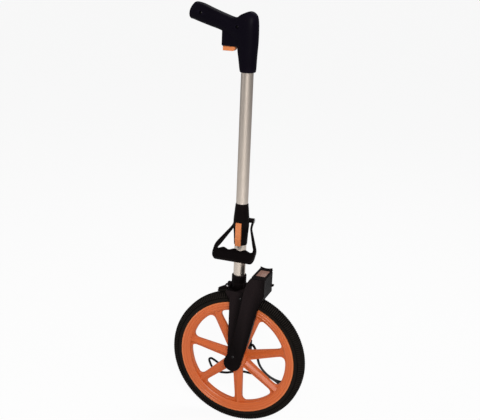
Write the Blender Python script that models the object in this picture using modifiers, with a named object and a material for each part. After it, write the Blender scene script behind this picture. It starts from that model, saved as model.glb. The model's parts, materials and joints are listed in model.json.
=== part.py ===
"""Measuring wheel: a one-metre wheel in a fork, with a folding pole, a pistol grip and a counter.

Metres, +Z up. The origin is where the tyre stands on the ground under the axle. +X is the
direction of travel, and the axle lies along Y with the belt casing on the -Y side.
"""
import bpy
import bmesh
from math import atan2, cos, hypot, pi, radians, sin, tau
from mathutils import Matrix, Vector

# ---------------------------------------------------------------- shared fits
GAP = 0.0003            # between pieces that touch
PLAY = 0.0005           # between pieces that move on each other
OVERRUN = 0.003         # how far a cutter runs past a face
WELD = 0.000005         # points closer than this are one
FINE_STEPS = 64         # facets round the wheel
ROUND_STEPS = 24        # facets round a tube or a boss
BORE_STEPS = 12         # facets round a small bore or pin

# ---------------------------------------------------------------- wheel
WHEEL_RADIUS = 0.15915  # one metre round the tread
TYRE_WIDTH = 0.026
TYRE_DEPTH = 0.02215
TYRE_SHOULDER = 0.005
TYRE_TONGUE = 0.010     # width of the rib that locks the tyre in the hoop
TONGUE_DEPTH = 0.003
HOOP_DEPTH = 0.0195
HOOP_SET_BACK = 0.0004  # from the tyre's side to the hoop's
RIM_STEP = 0.0045       # each of the hoop's steps, across and along the radius
SPOKE_COUNT = 7
SPOKE_WIDTH = 0.016
SPOKE_RIDGE = 0.0195    # thickness along the ridge
SPOKE_EDGE = 0.0072     # thickness at the two edges
SPOKE_PHASE = radians(16.0)
WEB_THICKNESS = 0.0088
WINDOW_CORNER = 0.009
WINDOW_POINTS = 7       # along a window's outer edge
HUB_RADIUS = 0.0235
HUB_CLEAR = 0.00125     # from the hub's end to a leg
HUB_RECESS = 0.003
HUB_BOSS_RADIUS = 0.0105
AXLE_RADIUS = 0.004
NUT_ACROSS = 0.013
NUT_HEIGHT = 0.0055
RIM_RADIUS = WHEEL_RADIUS - TYRE_DEPTH
RIM_INSIDE = RIM_RADIUS - HOOP_DEPTH
RIM_WIDTH = TYRE_WIDTH - HOOP_SET_BACK * 2

# ---------------------------------------------------------------- fork
LEG_CLEAR = 0.0085      # from the tyre's side to a leg
LEG_THICKNESS = 0.0095
LEG_WIDTH = 0.031
LEG_EDGE = 0.0016
POLE_SET_BACK = 0.005   # the pole stands a little behind the axle
CROWN_CLEAR = 0.0042    # from the tread to the crown
CROWN_HEIGHT = 0.0220
CROWN_STEP = 0.0004     # how far the crown's side lies behind the leg's
CROWN_BACK = 0.0213     # behind the pole's axis
CROWN_AHEAD = 0.0390    # ahead of the pole's axis
CROWN_EDGE = 0.003
COLLAR_HEIGHT = 0.0170
COLLAR_WALL = 0.0033
BUSH_WALL = 0.0025
BUSH_FLANGE = 0.002
FLANGE_THICKNESS = 0.0008
SCREW_RADIUS = 0.0016
SCREW_HEAD = 0.0031
HEAD_HEIGHT = 0.0018
SCREW_STEPS = 8
LEG_INSIDE = TYRE_WIDTH / 2 + LEG_CLEAR
LEG_OUTSIDE = LEG_INSIDE + LEG_THICKNESS
HUB_WIDTH = (LEG_INSIDE - HUB_CLEAR) * 2
POLE_X = -POLE_SET_BACK
CROWN_BOTTOM = WHEEL_RADIUS * 2 + CROWN_CLEAR
CROWN_TOP = CROWN_BOTTOM + CROWN_HEIGHT
CROWN_FRONT = POLE_X + CROWN_AHEAD
COLLAR_TOP = CROWN_TOP + COLLAR_HEIGHT

# ---------------------------------------------------------------- pole
TUBE_RADIUS = 0.0132
TUBE_WALL = 0.0015
TUBE_FLOOR = 0.0010     # crown left under the lower tube
LOWER_TUBE_RISE = 0.1255  # from the crown's underside to the lower tube's top
FOLD_RISE = 0.0360      # from there to the fold's axis
FOLD_Y = 0.0215
SLEEVE_DOWN = 0.0500    # the two sleeves' far ends, from the fold's axis
SLEEVE_UP = 0.0445
SLEEVE_END_RADIUS = 0.0147
SLEEVE_MID_RADIUS = 0.0175
SLEEVE_SWELL = 0.026    # distance from the parting plane over which the sleeve swells
SLEEVE_LIP = 0.0012
UPPER_TUBE_LIFT = 0.0130  # from the fold's axis to the upper tube
UPPER_TUBE_LENGTH = 0.363
KNUCKLE_RADIUS = 0.0055
KNUCKLE_HALF = 0.0060   # half the middle knuckle's length
KNUCKLE_REACH = 0.0180  # outer end of the side knuckles
PIN_RADIUS = 0.0022
PIN_HEAD_RADIUS = 0.0040
PIN_HEAD_HEIGHT = 0.0012
LATCH_WIDTH = 0.013
LATCH_BACK = 0.0153     # from the pole's axis
LATCH_THICKNESS = 0.0052
LATCH_LENGTH = 0.0525
LATCH_THUMB = 0.0035
LOWER_TUBE_TOP = CROWN_BOTTOM + LOWER_TUBE_RISE
FOLD_Z = LOWER_TUBE_TOP + FOLD_RISE
SLEEVE_BOTTOM = FOLD_Z - SLEEVE_DOWN
SLEEVE_TOP = FOLD_Z + SLEEVE_UP
UPPER_TUBE_BOTTOM = FOLD_Z + UPPER_TUBE_LIFT
UPPER_TUBE_TOP = UPPER_TUBE_BOTTOM + UPPER_TUBE_LENGTH
LATCH_FRONT = LATCH_BACK + LATCH_THICKNESS
LATCH_BOTTOM = SLEEVE_BOTTOM + PLAY
LATCH_TOP = LATCH_BOTTOM + LATCH_LENGTH

# ---------------------------------------------------------------- carrying handle
HANDLE_TILT = radians(46.9)   # forward of straight down, as it hangs
HANDLE_HALF = 0.0476          # half the bar's length
HANDLE_DEPTH = 0.1041         # from the pin to the far edge of the bar
HANDLE_BAR = 0.0285           # depth of the bar
HANDLE_THICKNESS = 0.0125
HANDLE_EYE_CLEAR = 0.0005     # from the outer knuckles to the eyes
HANDLE_EYE_WIDTH = 0.0040
HANDLE_EYE_RADIUS = 0.0058
HANDLE_EDGE = 0.0012
FINGER_RADIUS = 0.0125
FINGER_DEPTH = 0.0055
FINGER_PITCH = 0.0222
GROOVE_COUNT = 7              # across each arm, on both faces
GROOVE_START = 0.0300         # from the pin to the first
GROOVE_PITCH = 0.0056
GROOVE_WIDTH = 0.0022
GROOVE_DEPTH = 0.0008
HANDLE_EYE_INSIDE = KNUCKLE_REACH + HANDLE_EYE_CLEAR

# ---------------------------------------------------------------- counter
BOX_DROP = 0.0025       # below the crown's underside
BOX_LENGTH = 0.0302
BOX_HEIGHT = 0.0503
BOX_FAR = 0.0300
BOX_WALL = 0.0020
BOX_EDGE = 0.0018
BEZEL_THICKNESS = 0.0029
WINDOW_THICKNESS = 0.0013
WINDOW_LEDGE = 0.0012
WINDOW_LENGTH = 0.0210
WINDOW_WIDTH = 0.0350
WINDOW_FRAME = 0.0025   # from the counter's front to the window
WINDOW_INSET = 0.0105   # from its near side to the window
DRUM_DROP = 0.0113      # from the counter's top to the drums' axis
DRUM_RADIUS = 0.0100
DRUM_WIDTH = 0.0060
DRUM_PITCH = 0.0064
DRUM_COUNT = 5
DRUM_INSET = 0.0040     # from the window's near side to the middle of the first drum
SHAFT_RADIUS = 0.0020
PINION_RADIUS = 0.0040
PINION_WIDTH = 0.0040
PINION_TEETH = 6
RESET_RISE = 0.0140     # from the counter's floor
RESET_BOSS = 0.0052
RESET_REACH = 0.0165
RESET_HEIGHT = 0.0050
RESET_THICKNESS = 0.0030
BOX_BACK = CROWN_FRONT + GAP
BOX_FRONT = BOX_BACK + BOX_LENGTH
BOX_NEAR = -LEG_OUTSIDE
BOX_BOTTOM = CROWN_BOTTOM - BOX_DROP
BOX_TOP = BOX_BOTTOM + BOX_HEIGHT
WINDOW_FRONT = BOX_FRONT - WINDOW_FRAME
WINDOW_BACK = WINDOW_FRONT - WINDOW_LENGTH
WINDOW_NEAR = BOX_NEAR + WINDOW_INSET
WINDOW_FAR = WINDOW_NEAR + WINDOW_WIDTH
DRUM_X = (WINDOW_BACK + WINDOW_FRONT) / 2
DRUM_Z = BOX_TOP - DRUM_DROP
FIRST_DRUM_Y = WINDOW_NEAR + DRUM_INSET

# ---------------------------------------------------------------- belt drive
PLATE_THICKNESS = 0.0020
COVER_WALL = 0.0016
COVER_DEPTH = 0.0092
COVER_EDGE = 0.0014
COVER_RISE = 0.0037     # above the counter's box
COVER_REACH = 0.0041    # ahead of it
COVER_END_RADIUS = 0.0200
COVER_END_FRONT = radians(4)     # where the round end meets the front edge, from +X
COVER_END_REAR = radians(-204)   # where it meets the rear edge
COVER_REAR_SHARES = ((-0.012, 0.216), (0.10, 0.453), (0.24, 0.744), (0.414, 0.943), (0.55, 1.0))
COVER_FRONT_SHARES = ((1.0, 1.0), (1.0, 0.818), (0.805, 0.683), (0.509, 0.261))
PULLEY_RADIUS = 0.0085
PULLEY_FLANGE = 0.0020
PULLEY_WIDTH = 0.0070
BELT_WIDTH = 0.0056
BELT_THICKNESS = 0.0015
COVER_SCREW_RISE = 0.0175
COVER_SCREW_AHEAD = 0.0026
COVER_TOP = BOX_TOP + COVER_RISE
COVER_FRONT = BOX_FRONT + COVER_REACH

# ---------------------------------------------------------------- grip and trigger
GRIP_SOCKET = 0.048     # length of the upper tube inside the grip
GRIP_HEIGHT = 0.1435
GRIP_REACH = 0.1284
GRIP_HALF_WIDTH = 0.0190
# outer edge, inner edge and width of each section, from the end of the arm to the foot of the stem
GRIP_SHARES = (
    ((-0.985, 0.865), (-0.990, 0.745), 0.45),
    ((-0.965, 0.925), (-0.975, 0.708), 0.74),
    ((-0.890, 0.958), (-0.950, 0.707), 0.86),
    ((-0.780, 0.935), (-0.850, 0.672), 0.87),
    ((-0.600, 0.880), (-0.660, 0.622), 0.87),
    ((-0.400, 0.815), (-0.470, 0.573), 0.88),
    ((-0.221, 0.767), (-0.330, 0.505), 0.90),
    ((-0.132, 0.816), (-0.245, 0.445), 0.93),
    ((0.016, 0.861), (-0.190, 0.385), 0.97),
    ((0.121, 0.823), (-0.176, 0.325), 1.00),
    ((0.154, 0.718), (-0.168, 0.265), 1.00),
    ((0.160, 0.474), (-0.153, 0.181), 0.99),
    ((0.144, 0.230), (-0.134, 0.070), 0.97),
    ((0.134, 0.000), (-0.118, 0.000), 0.95),
)
GRIP_SIDES = 16
GRIP_ROUND = 2.6        # how square a section's corners are, 2 being an ellipse
BLOCK_RISE = 0.0515     # from the grip's foot to the trigger's housing
BLOCK_HEIGHT = 0.0395
BLOCK_SET_BACK = 0.0190  # from the pole's axis to the housing
BLOCK_LENGTH = 0.0364
BLOCK_HALF = 0.0125
BLOCK_EDGE = 0.0022
TRIGGER_INSET = 0.0016  # from the housing's rear end
TRIGGER_LENGTH = 0.0268
TRIGGER_HALF = 0.0070
TRIGGER_DROP = 0.0097   # how far it shows below the block
TRIGGER_RISE = 0.0150   # how far it reaches up inside
TRIGGER_TRAVEL = 0.006
TRIGGER_NOSE = 0.0055
SPRING_RADIUS = 0.0029
SPRING_WIRE = 0.0004
SPRING_TURNS = 7
SPRING_LENGTH = 0.0170
GRIP_SCREW_SHARES = ((-0.7905, 0.805), (-0.1612, 0.641))
SCREW_WELL = 0.0036
GRIP_BOTTOM = UPPER_TUBE_TOP - GRIP_SOCKET
GRIP_TOP = GRIP_BOTTOM + GRIP_HEIGHT
BLOCK_FRONT = POLE_X - BLOCK_SET_BACK
BLOCK_BACK = BLOCK_FRONT - BLOCK_LENGTH
BLOCK_BOTTOM = GRIP_BOTTOM + BLOCK_RISE
BLOCK_TOP = BLOCK_BOTTOM + BLOCK_HEIGHT
TRIGGER_BACK = BLOCK_BACK + TRIGGER_INSET
TRIGGER_FRONT = TRIGGER_BACK + TRIGGER_LENGTH

# ---------------------------------------------------------------- brake
BRAKE_SET_BACK = 0.0235  # from the pole's axis to the brake's pivot
BRAKE_RISE = 0.0110     # from the crown's underside
BRAKE_EAR = 0.0056
BRAKE_EAR_WIDTH = 0.0065
BRAKE_WIDTH = 0.0080
BRAKE_ARM = 0.0042      # thickness of the arm
BRAKE_BORE = 0.0014
BRAKE_CLEAR = 0.0045
PAD_SET_BACK = 0.0292   # from the axle to the pad's near end, along the tread
PAD_LENGTH = 0.0253
PAD_THICKNESS = 0.0042
PAD_WIDTH = 0.0180
BRAKE_PIVOT_X = POLE_X - BRAKE_SET_BACK
BRAKE_PIVOT_Z = CROWN_BOTTOM + BRAKE_RISE
BRAKE_START = pi / 2 + atan2(PAD_SET_BACK, WHEEL_RADIUS)   # the pad's ends, round the axle from +X
BRAKE_END = BRAKE_START + PAD_LENGTH / WHEEL_RADIUS

# ---------------------------------------------------------------- kickstand
STAND_WIRE = 0.0030
STAND_OUT = 0.0240      # from the far leg to the stand's pivot
STAND_RISE = 0.00385    # above the axle
STAND_REACH = 0.151     # from the pivot to the rearmost rod on the ground
STAND_WIDTH = 0.100     # from the middle to the longest reach of the front ear
STAND_SHARES = (
    (0.00, 0.000, 0.000), (0.148, 0.000, 0.000), (0.175, 0.000, 0.000),
    (0.220, 0.020, 0.060), (0.262, 0.055, 0.190), (0.300, 0.130, 0.370), (0.360, 0.290, 0.560), (0.450, 0.480, 0.735), (0.560, 0.680, 0.880),
    (0.690, 0.850, 0.970), (0.820, 0.905, 1.000), (0.915, 0.880, 1.000), (0.940, 0.820, 1.000),
    (0.880, 0.765, 1.000), (0.720, 0.770, 1.000), (0.530, 0.815, 1.000), (0.350, 0.905, 1.000),
    (0.090, 0.995, 1.000), (-0.140, 0.985, 1.000), (-0.330, 0.965, 1.000), (-0.540, 0.965, 1.000),
    (-0.750, 0.900, 1.000), (-0.920, 0.815, 1.000), (-1.120, 0.825, 1.000), (-1.350, 0.905, 1.000),
    (-1.520, 1.010, 1.000), (-1.610, 1.120, 1.000), (-1.570, 1.190, 1.000), (-1.450, 1.180, 1.000),
    (-1.310, 1.090, 0.990), (-1.170, 0.960, 0.965), (-0.970, 0.765, 0.840), (-0.765, 0.560, 0.650),
    (-0.550, 0.330, 0.425), (-0.370, 0.130, 0.220), (-0.270, 0.045, 0.080), (-0.180, 0.000, 0.000),
    (-0.148, 0.000, 0.000),
)
BRACKET_HALF = 0.0135
BRACKET_DEPTH = 0.0310
BRACKET_RISE = 0.0125   # above the stand's pivot
BRACKET_DROP = 0.0185   # below it
BRACKET_EDGE = 0.0022
STAND_PIVOT_Y = LEG_OUTSIDE + STAND_OUT
STAND_PIVOT_Z = WHEEL_RADIUS + STAND_RISE

# ---------------------------------------------------------------- materials
MATERIALS = {
    "orange_plastic": ((0.610, 0.127, 0.032), 0.42, 0.0),
    "black_plastic": ((0.019, 0.016, 0.021), 0.45, 0.0),
    "black_rubber": ((0.012, 0.012, 0.013), 0.75, 0.0),
    "silver_tube": ((0.480, 0.460, 0.440), 0.32, 1.0),
    "steel": ((0.560, 0.560, 0.570), 0.30, 1.0),
    "dark_steel": ((0.020, 0.020, 0.022), 0.28, 0.6),
    "white_plastic": ((0.780, 0.780, 0.760), 0.45, 0.0),
    "window_plastic": ((0.720, 0.520, 0.500), 0.10, 0.0),
    "grip_plastic": ((0.014, 0.012, 0.017), 0.38, 0.0),
}

NEAR, FAR = -1.0, 1.0
AXLE = Vector((0.0, 0.0, WHEEL_RADIUS))
UPPER_AXIS = Vector((DRUM_X, 0.0, DRUM_Z))
FOLD_PIN = Vector((POLE_X, FOLD_Y, FOLD_Z))


# ================================================================ scene and helpers
def clear_scene():
    for item in list(bpy.data.objects):
        bpy.data.objects.remove(item, do_unlink=True)


def collection(name):
    made = bpy.data.collections.get(name) or bpy.data.collections.new(name)
    if made.name not in bpy.context.scene.collection.children:
        bpy.context.scene.collection.children.link(made)
    return made


clear_scene()
PARTS = collection("measuring_wheel")
CUTTERS = collection("cutters")


def paint(item, slot):
    """Give an object its own Principled material."""
    colour, roughness, metallic = MATERIALS[slot]
    made = bpy.data.materials.new(f"{item.name}_{slot}")
    made.use_nodes = True
    shader = made.node_tree.nodes["Principled BSDF"]
    shader.inputs["Base Color"].default_value = (*colour, 1.0)
    shader.inputs["Roughness"].default_value = roughness
    shader.inputs["Metallic"].default_value = metallic
    made.diffuse_color = (*colour, 1.0)
    item.data.materials.clear()
    item.data.materials.append(made)


def add(name, mesh, slot=None):
    """Link a mesh as a part, or as a tool where it has no material slot."""
    item = bpy.data.objects.new(name, mesh)
    if slot is None:
        CUTTERS.objects.link(item)
        item.hide_render = True
        item.display_type = "WIRE"
    else:
        PARTS.objects.link(item)
        paint(item, slot)
    return item


def block(name, low, high, slot=None):
    """A box between two corners."""
    mesh = bpy.data.meshes.new(name)
    bm = bmesh.new()
    bmesh.ops.create_cube(bm, size=1)
    middle = (Vector(low) + Vector(high)) / 2
    size = Vector(high) - Vector(low)
    bmesh.ops.scale(bm, vec=size, verts=bm.verts)
    bmesh.ops.translate(bm, vec=middle, verts=bm.verts)
    bm.to_mesh(mesh)
    bm.free()
    return add(name, mesh, slot)


TURN_TO = {
    "X": Matrix.Rotation(pi / 2, 4, "Y"),
    "Y": Matrix.Rotation(-pi / 2, 4, "X"),
    "Z": Matrix.Identity(4),
}


def turned(name, profile, axis, centre, slot=None, steps=ROUND_STEPS, closed=False, turn=0.0):
    """A profile of (radius, height) points turned round an axis, its outer side top to bottom."""
    mesh = bpy.data.meshes.new(name)
    edges = [(i, i + 1) for i in range(len(profile) - 1)]
    if closed:
        edges.append((len(profile) - 1, 0))
    mesh.from_pydata([(radius, 0, height) for radius, height in profile], edges, [])
    item = add(name, mesh, slot)
    item.matrix_world = Matrix.Translation(centre) @ TURN_TO[axis] @ Matrix.Rotation(turn, 4, "Z")
    screw = item.modifiers.new("turn", "SCREW")
    screw.steps = screw.render_steps = steps
    screw.use_merge_vertices = True
    screw.merge_threshold = WELD
    screw.use_smooth_shade = True
    return item


def rod(name, radius, low, high, axis, centre, slot=None, steps=ROUND_STEPS):
    """A plain cylinder from one height to another along an axis."""
    return turned(name, [(0, high), (radius, high), (radius, low), (0, low)], axis, centre, slot, steps,
                  turn=pi / steps)


def ring(name, inner, outer, low, high, axis, centre, slot=None, steps=ROUND_STEPS):
    profile = [(inner, high), (outer, high), (outer, low), (inner, low)]
    return turned(name, profile, axis, centre, slot, steps, closed=True)


PLANES = {
    "XZ": Matrix.Rotation(pi / 2, 4, "X"),    # drawn in X and Z, thickness along Y
    "XY": Matrix.Identity(4),                 # drawn in X and Y, thickness along Z
    "YZ": Matrix.Rotation(pi / 2, 4, "Z") @ Matrix.Rotation(pi / 2, 4, "X"),
}
NORMALS = {"XZ": Vector((0, 1, 0)), "XY": Vector((0, 0, 1)), "YZ": Vector((1, 0, 0))}


def as_mesh(curve_object, name, slot):
    """Turn a curve object into a welded mesh object in the same place."""
    bpy.context.view_layer.update()
    depsgraph = bpy.context.evaluated_depsgraph_get()
    mesh = bpy.data.meshes.new_from_object(curve_object.evaluated_get(depsgraph))
    matrix = curve_object.matrix_world.copy()
    bpy.data.objects.remove(curve_object, do_unlink=True)
    bm = bmesh.new()
    bm.from_mesh(mesh)
    bmesh.ops.remove_doubles(bm, verts=bm.verts, dist=WELD)
    bmesh.ops.recalc_face_normals(bm, faces=bm.faces)
    bm.to_mesh(mesh)
    bm.free()
    item = add(name, mesh, slot)
    item.matrix_world = matrix
    return item


def plate(name, loops, low, high, plane="XZ", slot=None, frame=None):
    """Flat outlines, the later ones being holes, between two heights across their plane."""
    curve = bpy.data.curves.new(name + "_outline", "CURVE")
    curve.dimensions = "2D"
    curve.fill_mode = "BOTH"
    curve.extrude = (high - low) / 2
    for loop in loops:
        spline = curve.splines.new("POLY")
        spline.points.add(len(loop) - 1)
        spline.use_cyclic_u = True
        for point, (across, along) in zip(spline.points, loop):
            point.co = (across, along, 0, 1)
    drawn = bpy.data.objects.new(name + "_outline", curve)
    CUTTERS.objects.link(drawn)
    if frame is None:
        frame = Matrix.Translation(NORMALS[plane] * (low + high) / 2) @ PLANES[plane]
    drawn.matrix_world = frame
    return as_mesh(drawn, name, slot)


def wire(name, points, radius, slot, cyclic=False, resolution=2):
    """A round wire through points."""
    curve = bpy.data.curves.new(name + "_path", "CURVE")
    curve.dimensions = "3D"
    curve.bevel_depth = radius
    curve.bevel_resolution = resolution
    curve.use_fill_caps = not cyclic
    spline = curve.splines.new("POLY")
    spline.points.add(len(points) - 1)
    spline.use_cyclic_u = cyclic
    for point, place in zip(spline.points, points):
        point.co = (*place, 1)
    drawn = bpy.data.objects.new(name + "_path", curve)
    CUTTERS.objects.link(drawn)
    return as_mesh(drawn, name, slot)


def combine(item, tool, operation):
    step = item.modifiers.new(tool.name, "BOOLEAN")
    step.operation = operation
    step.object = tool
    return item


def cut(item, *tools):
    for tool in tools:
        combine(item, tool, "DIFFERENCE")
    return item


def join(item, *tools):
    for tool in tools:
        combine(item, tool, "UNION")
    return item


def keep(item, tool):
    return combine(item, tool, "INTERSECT")


def solve_by_manifold(item):
    """For closed pieces whose facets graze a tool's faces, which the exact solver leaves open."""
    for step in item.modifiers:
        if step.type == "BOOLEAN":
            step.solver = "MANIFOLD"
    return item


def soften(item, width, segments=1, angle=radians(40)):
    """Round the sharp edges."""
    bevel = item.modifiers.new("soften", "BEVEL")
    bevel.width = width
    bevel.segments = segments
    bevel.limit_method = "ANGLE"
    bevel.angle_limit = angle
    bevel.use_clamp_overlap = True
    return item


def pivot(name, place):
    empty = bpy.data.objects.new(name, None)
    PARTS.objects.link(empty)
    empty.location = place
    return empty


def hang(empty, *items):
    """Parent pieces to the empty on their joint's axis, where they are."""
    for item in items:
        item.parent = empty
        item.matrix_parent_inverse = Matrix.Translation(empty.location).inverted()


def arc(centre, radius, start, end, count):
    """Points along a circle, both ends included."""
    return [
        (centre[0] + radius * cos(start + (end - start) * i / (count - 1)),
         centre[1] + radius * sin(start + (end - start) * i / (count - 1)))
        for i in range(count)
    ]


def circle(centre, radius, count=ROUND_STEPS):
    return [(centre[0] + radius * cos(tau * i / count), centre[1] + radius * sin(tau * i / count))
            for i in range(count)]


def smooth(points, steps, cyclic=False):
    """A Catmull-Rom curve through points, with some steps for each stretch."""
    count = len(points)
    made = []
    stretches = count if cyclic else count - 1
    for i in range(stretches):
        near = [points[(i + k) % count] if cyclic else points[min(max(i + k, 0), count - 1)]
                for k in (-1, 0, 1, 2)]
        a, b, c, d = (Vector(p) for p in near)
        for step in range(steps):
            t = step / steps
            made.append((b * 2 + (c - a) * t + (a * 2 - b * 5 + c * 4 - d) * t ** 2
                         + (b * 3 - a - c * 3 + d) * t ** 3) / 2)
    if not cyclic:
        made.append(Vector(points[-1]))
    return made


def rounded(corners, radius, count=4):
    """A polygon, anticlockwise or not, with its corners rounded."""
    made = []
    total = len(corners)
    for i, corner in enumerate(corners):
        here = Vector(corner)
        before = Vector(corners[i - 1]) - here
        after = Vector(corners[(i + 1) % total]) - here
        reach = min(radius, before.length / 2, after.length / 2)
        start = here + before.normalized() * reach
        end = here + after.normalized() * reach
        for k in range(count + 1):
            t = k / count
            made.append(tuple(start * (1 - t) ** 2 + here * 2 * t * (1 - t) + end * t ** 2))
    return made


def screw_piece(name, place, tip, head_from, outward, slot="dark_steel", axis="Y"):
    """A screw along an axis: the shank from tip to head, then a round head."""
    head_to = head_from + outward * HEAD_HEIGHT
    if outward < 0:
        profile = [(0, tip), (SCREW_RADIUS, tip), (SCREW_RADIUS, head_from), (SCREW_HEAD, head_from),
                   (SCREW_HEAD, head_to + HEAD_HEIGHT / 3), (SCREW_HEAD - HEAD_HEIGHT / 3, head_to),
                   (0, head_to)]
    else:
        profile = [(0, head_to), (SCREW_HEAD - HEAD_HEIGHT / 3, head_to),
                   (SCREW_HEAD, head_to - HEAD_HEIGHT / 3), (SCREW_HEAD, head_from),
                   (SCREW_RADIUS, head_from), (SCREW_RADIUS, tip), (0, tip)]
    return turned(name, profile, axis, place, slot, SCREW_STEPS)


# ================================================================ wheel
def spoke_angles():
    return [SPOKE_PHASE + tau * i / SPOKE_COUNT for i in range(SPOKE_COUNT)]


def hoop_profile():
    """Section of the rim: steps on both sides, a groove for the tyre's tongue outside."""
    half = RIM_WIDTH / 2
    groove = TYRE_TONGUE / 2 + GAP
    floor = RIM_RADIUS - TONGUE_DEPTH - GAP
    upper = [
        (RIM_INSIDE, half - RIM_STEP),
        (RIM_INSIDE + RIM_STEP, half - RIM_STEP * 0.9),
        (RIM_INSIDE + RIM_STEP * 1.3, half - RIM_STEP / 3),
        (RIM_INSIDE + RIM_STEP * 2.6, half),
        (RIM_RADIUS, half),
        (RIM_RADIUS, groove),
        (floor, groove),
    ]
    return upper + [(radius, -height) for radius, height in reversed(upper)]


def window_outline(angle):
    """One opening of the web between two spokes, in X and Z about the axle."""
    side = SPOKE_WIDTH / 2
    half_pitch = pi / SPOKE_COUNT
    outer = RIM_INSIDE + RIM_STEP / 4
    inner = side / sin(half_pitch) + WINDOW_CORNER / 2
    outer_half = half_pitch - atan2(side, outer)
    rim = arc((0, 0), outer, angle - outer_half, angle + outer_half, WINDOW_POINTS)
    corners = rounded([rim[-1], (inner * cos(angle), inner * sin(angle)), rim[0]], WINDOW_CORNER, 3)
    rim_start, tip, rim_end = corners[:4], corners[4:8], corners[8:]
    outline = tip + rim_end + rim[1:-1] + rim_start
    return [(x, z + WHEEL_RADIUS) for x, z in outline]


def spoke_bar(name, angle):
    """A spoke with a ridge along its middle, from inside the hub to inside the hoop."""
    start = HUB_RADIUS - RIM_STEP
    length = RIM_INSIDE + RIM_STEP - start
    half = SPOKE_WIDTH / 2
    section = [(half, -SPOKE_EDGE / 2), (half, SPOKE_EDGE / 2), (0, SPOKE_RIDGE / 2),
               (-half, SPOKE_EDGE / 2), (-half, -SPOKE_EDGE / 2), (0, -SPOKE_RIDGE / 2)]
    place = Matrix.Translation(AXLE) @ Matrix.Rotation(-angle, 4, "Y")
    across = place @ Matrix.Translation((start + length / 2, 0, 0)) @ Matrix.Rotation(pi / 2, 4, "Y") \
        @ Matrix.Rotation(pi / 2, 4, "Z")
    return plate(name, [section], 0, length, frame=across)


def wheel_rim():
    hoop = turned("wheel_rim", hoop_profile(), "Y", AXLE, "orange_plastic", FINE_STEPS, closed=True)
    web = ring("web", HUB_RADIUS - RIM_STEP, RIM_INSIDE + RIM_STEP * 1.2, -WEB_THICKNESS / 2,
               WEB_THICKNESS / 2, "Y", AXLE, steps=FINE_STEPS)
    half = HUB_WIDTH / 2
    bore = AXLE_RADIUS + GAP
    edge = HUB_RECESS / 2
    upper = [(bore, half), (HUB_BOSS_RADIUS - edge, half), (HUB_BOSS_RADIUS, half - HUB_RECESS),
             (HUB_RADIUS - HUB_RECESS, half - HUB_RECESS), (HUB_RADIUS, half - HUB_RECESS * 2)]
    hub = turned("hub", upper + [(r, -h) for r, h in reversed(upper)], "Y", AXLE, steps=ROUND_STEPS, closed=True)
    for number, angle in enumerate(spoke_angles()):
        window = plate(f"window_{number}", [window_outline(angle + pi / SPOKE_COUNT)],
                       -WEB_THICKNESS, WEB_THICKNESS)
        cut(web, window)
    join(hoop, web)
    for number, angle in enumerate(spoke_angles()):
        join(hoop, spoke_bar(f"spoke_{number}", angle))
    join(hoop, hub)
    return solve_by_manifold(hoop)


def tyre():
    """Stands on one flat facet, so its points lie a little outside the named radius."""
    grow = 1 / cos(pi / FINE_STEPS)
    half = TYRE_WIDTH / 2
    seat = RIM_RADIUS + GAP
    tongue = TYRE_TONGUE / 2
    crown = WHEEL_RADIUS
    shoulder = arc((crown - TYRE_SHOULDER, half - TYRE_SHOULDER), TYRE_SHOULDER, pi / 2, 0, 3)
    upper = [(seat - TONGUE_DEPTH, tongue), (seat, tongue), (seat, half - TYRE_SHOULDER / 4),
             (seat + TYRE_SHOULDER / 2, half)] + shoulder
    profile = upper + [(radius, -height) for radius, height in reversed(upper)]
    profile = [(radius * grow, height) for radius, height in profile]
    return turned("tyre", profile, "Y", AXLE, "black_rubber", FINE_STEPS, closed=True,
                  turn=pi / FINE_STEPS)


CASE_BACK = BOX_NEAR - GAP                        # face of the casing's back plate on the leg
CASE_FRONT = CASE_BACK - PLATE_THICKNESS - GAP    # where the cover meets the plate
CASE_OUT = CASE_FRONT - COVER_DEPTH               # outer face of the cover
PULLEY_BACK = CASE_FRONT - GAP                    # pulley's face next to the plate
PULLEY_OUT = PULLEY_BACK - PULLEY_WIDTH


def axle():
    profile = [(0, LEG_OUTSIDE + NUT_HEIGHT + GAP * 4), (AXLE_RADIUS, LEG_OUTSIDE + NUT_HEIGHT + GAP * 4),
               (AXLE_RADIUS, PULLEY_OUT), (0, PULLEY_OUT)]
    return turned("axle", profile, "Y", AXLE, "steel", BORE_STEPS)


def axle_nut():
    low = LEG_OUTSIDE + FLANGE_THICKNESS + GAP * 2
    nut = rod("axle_nut", NUT_ACROSS / 2 / cos(pi / 6), low, low + NUT_HEIGHT - GAP, "Y", AXLE, "steel", 6)
    return cut(nut, rod("nut_bore", AXLE_RADIUS + GAP, low - OVERRUN, low + NUT_HEIGHT + OVERRUN,
                        "Y", AXLE))


def pulley(name, centre, bore):
    """A flat belt pulley with two thin flanges."""
    flange = (PULLEY_WIDTH - BELT_WIDTH) / 2 - GAP
    groove, rim = PULLEY_RADIUS, PULLEY_RADIUS + PULLEY_FLANGE
    profile = [(bore, PULLEY_BACK), (rim, PULLEY_BACK), (rim, PULLEY_BACK - flange),
               (groove, PULLEY_BACK - flange), (groove, PULLEY_OUT + flange),
               (rim, PULLEY_OUT + flange), (rim, PULLEY_OUT), (bore, PULLEY_OUT)]
    return turned(name, profile, "Y", centre, "white_plastic", closed=True)


def drive_belt():
    """A flat belt round both pulleys."""
    lean = atan2(UPPER_AXIS.x - AXLE.x, UPPER_AXIS.z - AXLE.z)
    middle = (PULLEY_BACK + PULLEY_OUT) / 2

    def loop(radius):
        return arc((UPPER_AXIS.x, UPPER_AXIS.z), radius, pi - lean, -lean, 13) \
            + arc((AXLE.x, AXLE.z), radius, -lean, -pi - lean, 13)

    inner = PULLEY_RADIUS + GAP
    return plate("drive_belt", [loop(inner + BELT_THICKNESS), loop(inner)],
                 middle - BELT_WIDTH / 2, middle + BELT_WIDTH / 2, slot="black_rubber")


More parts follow.
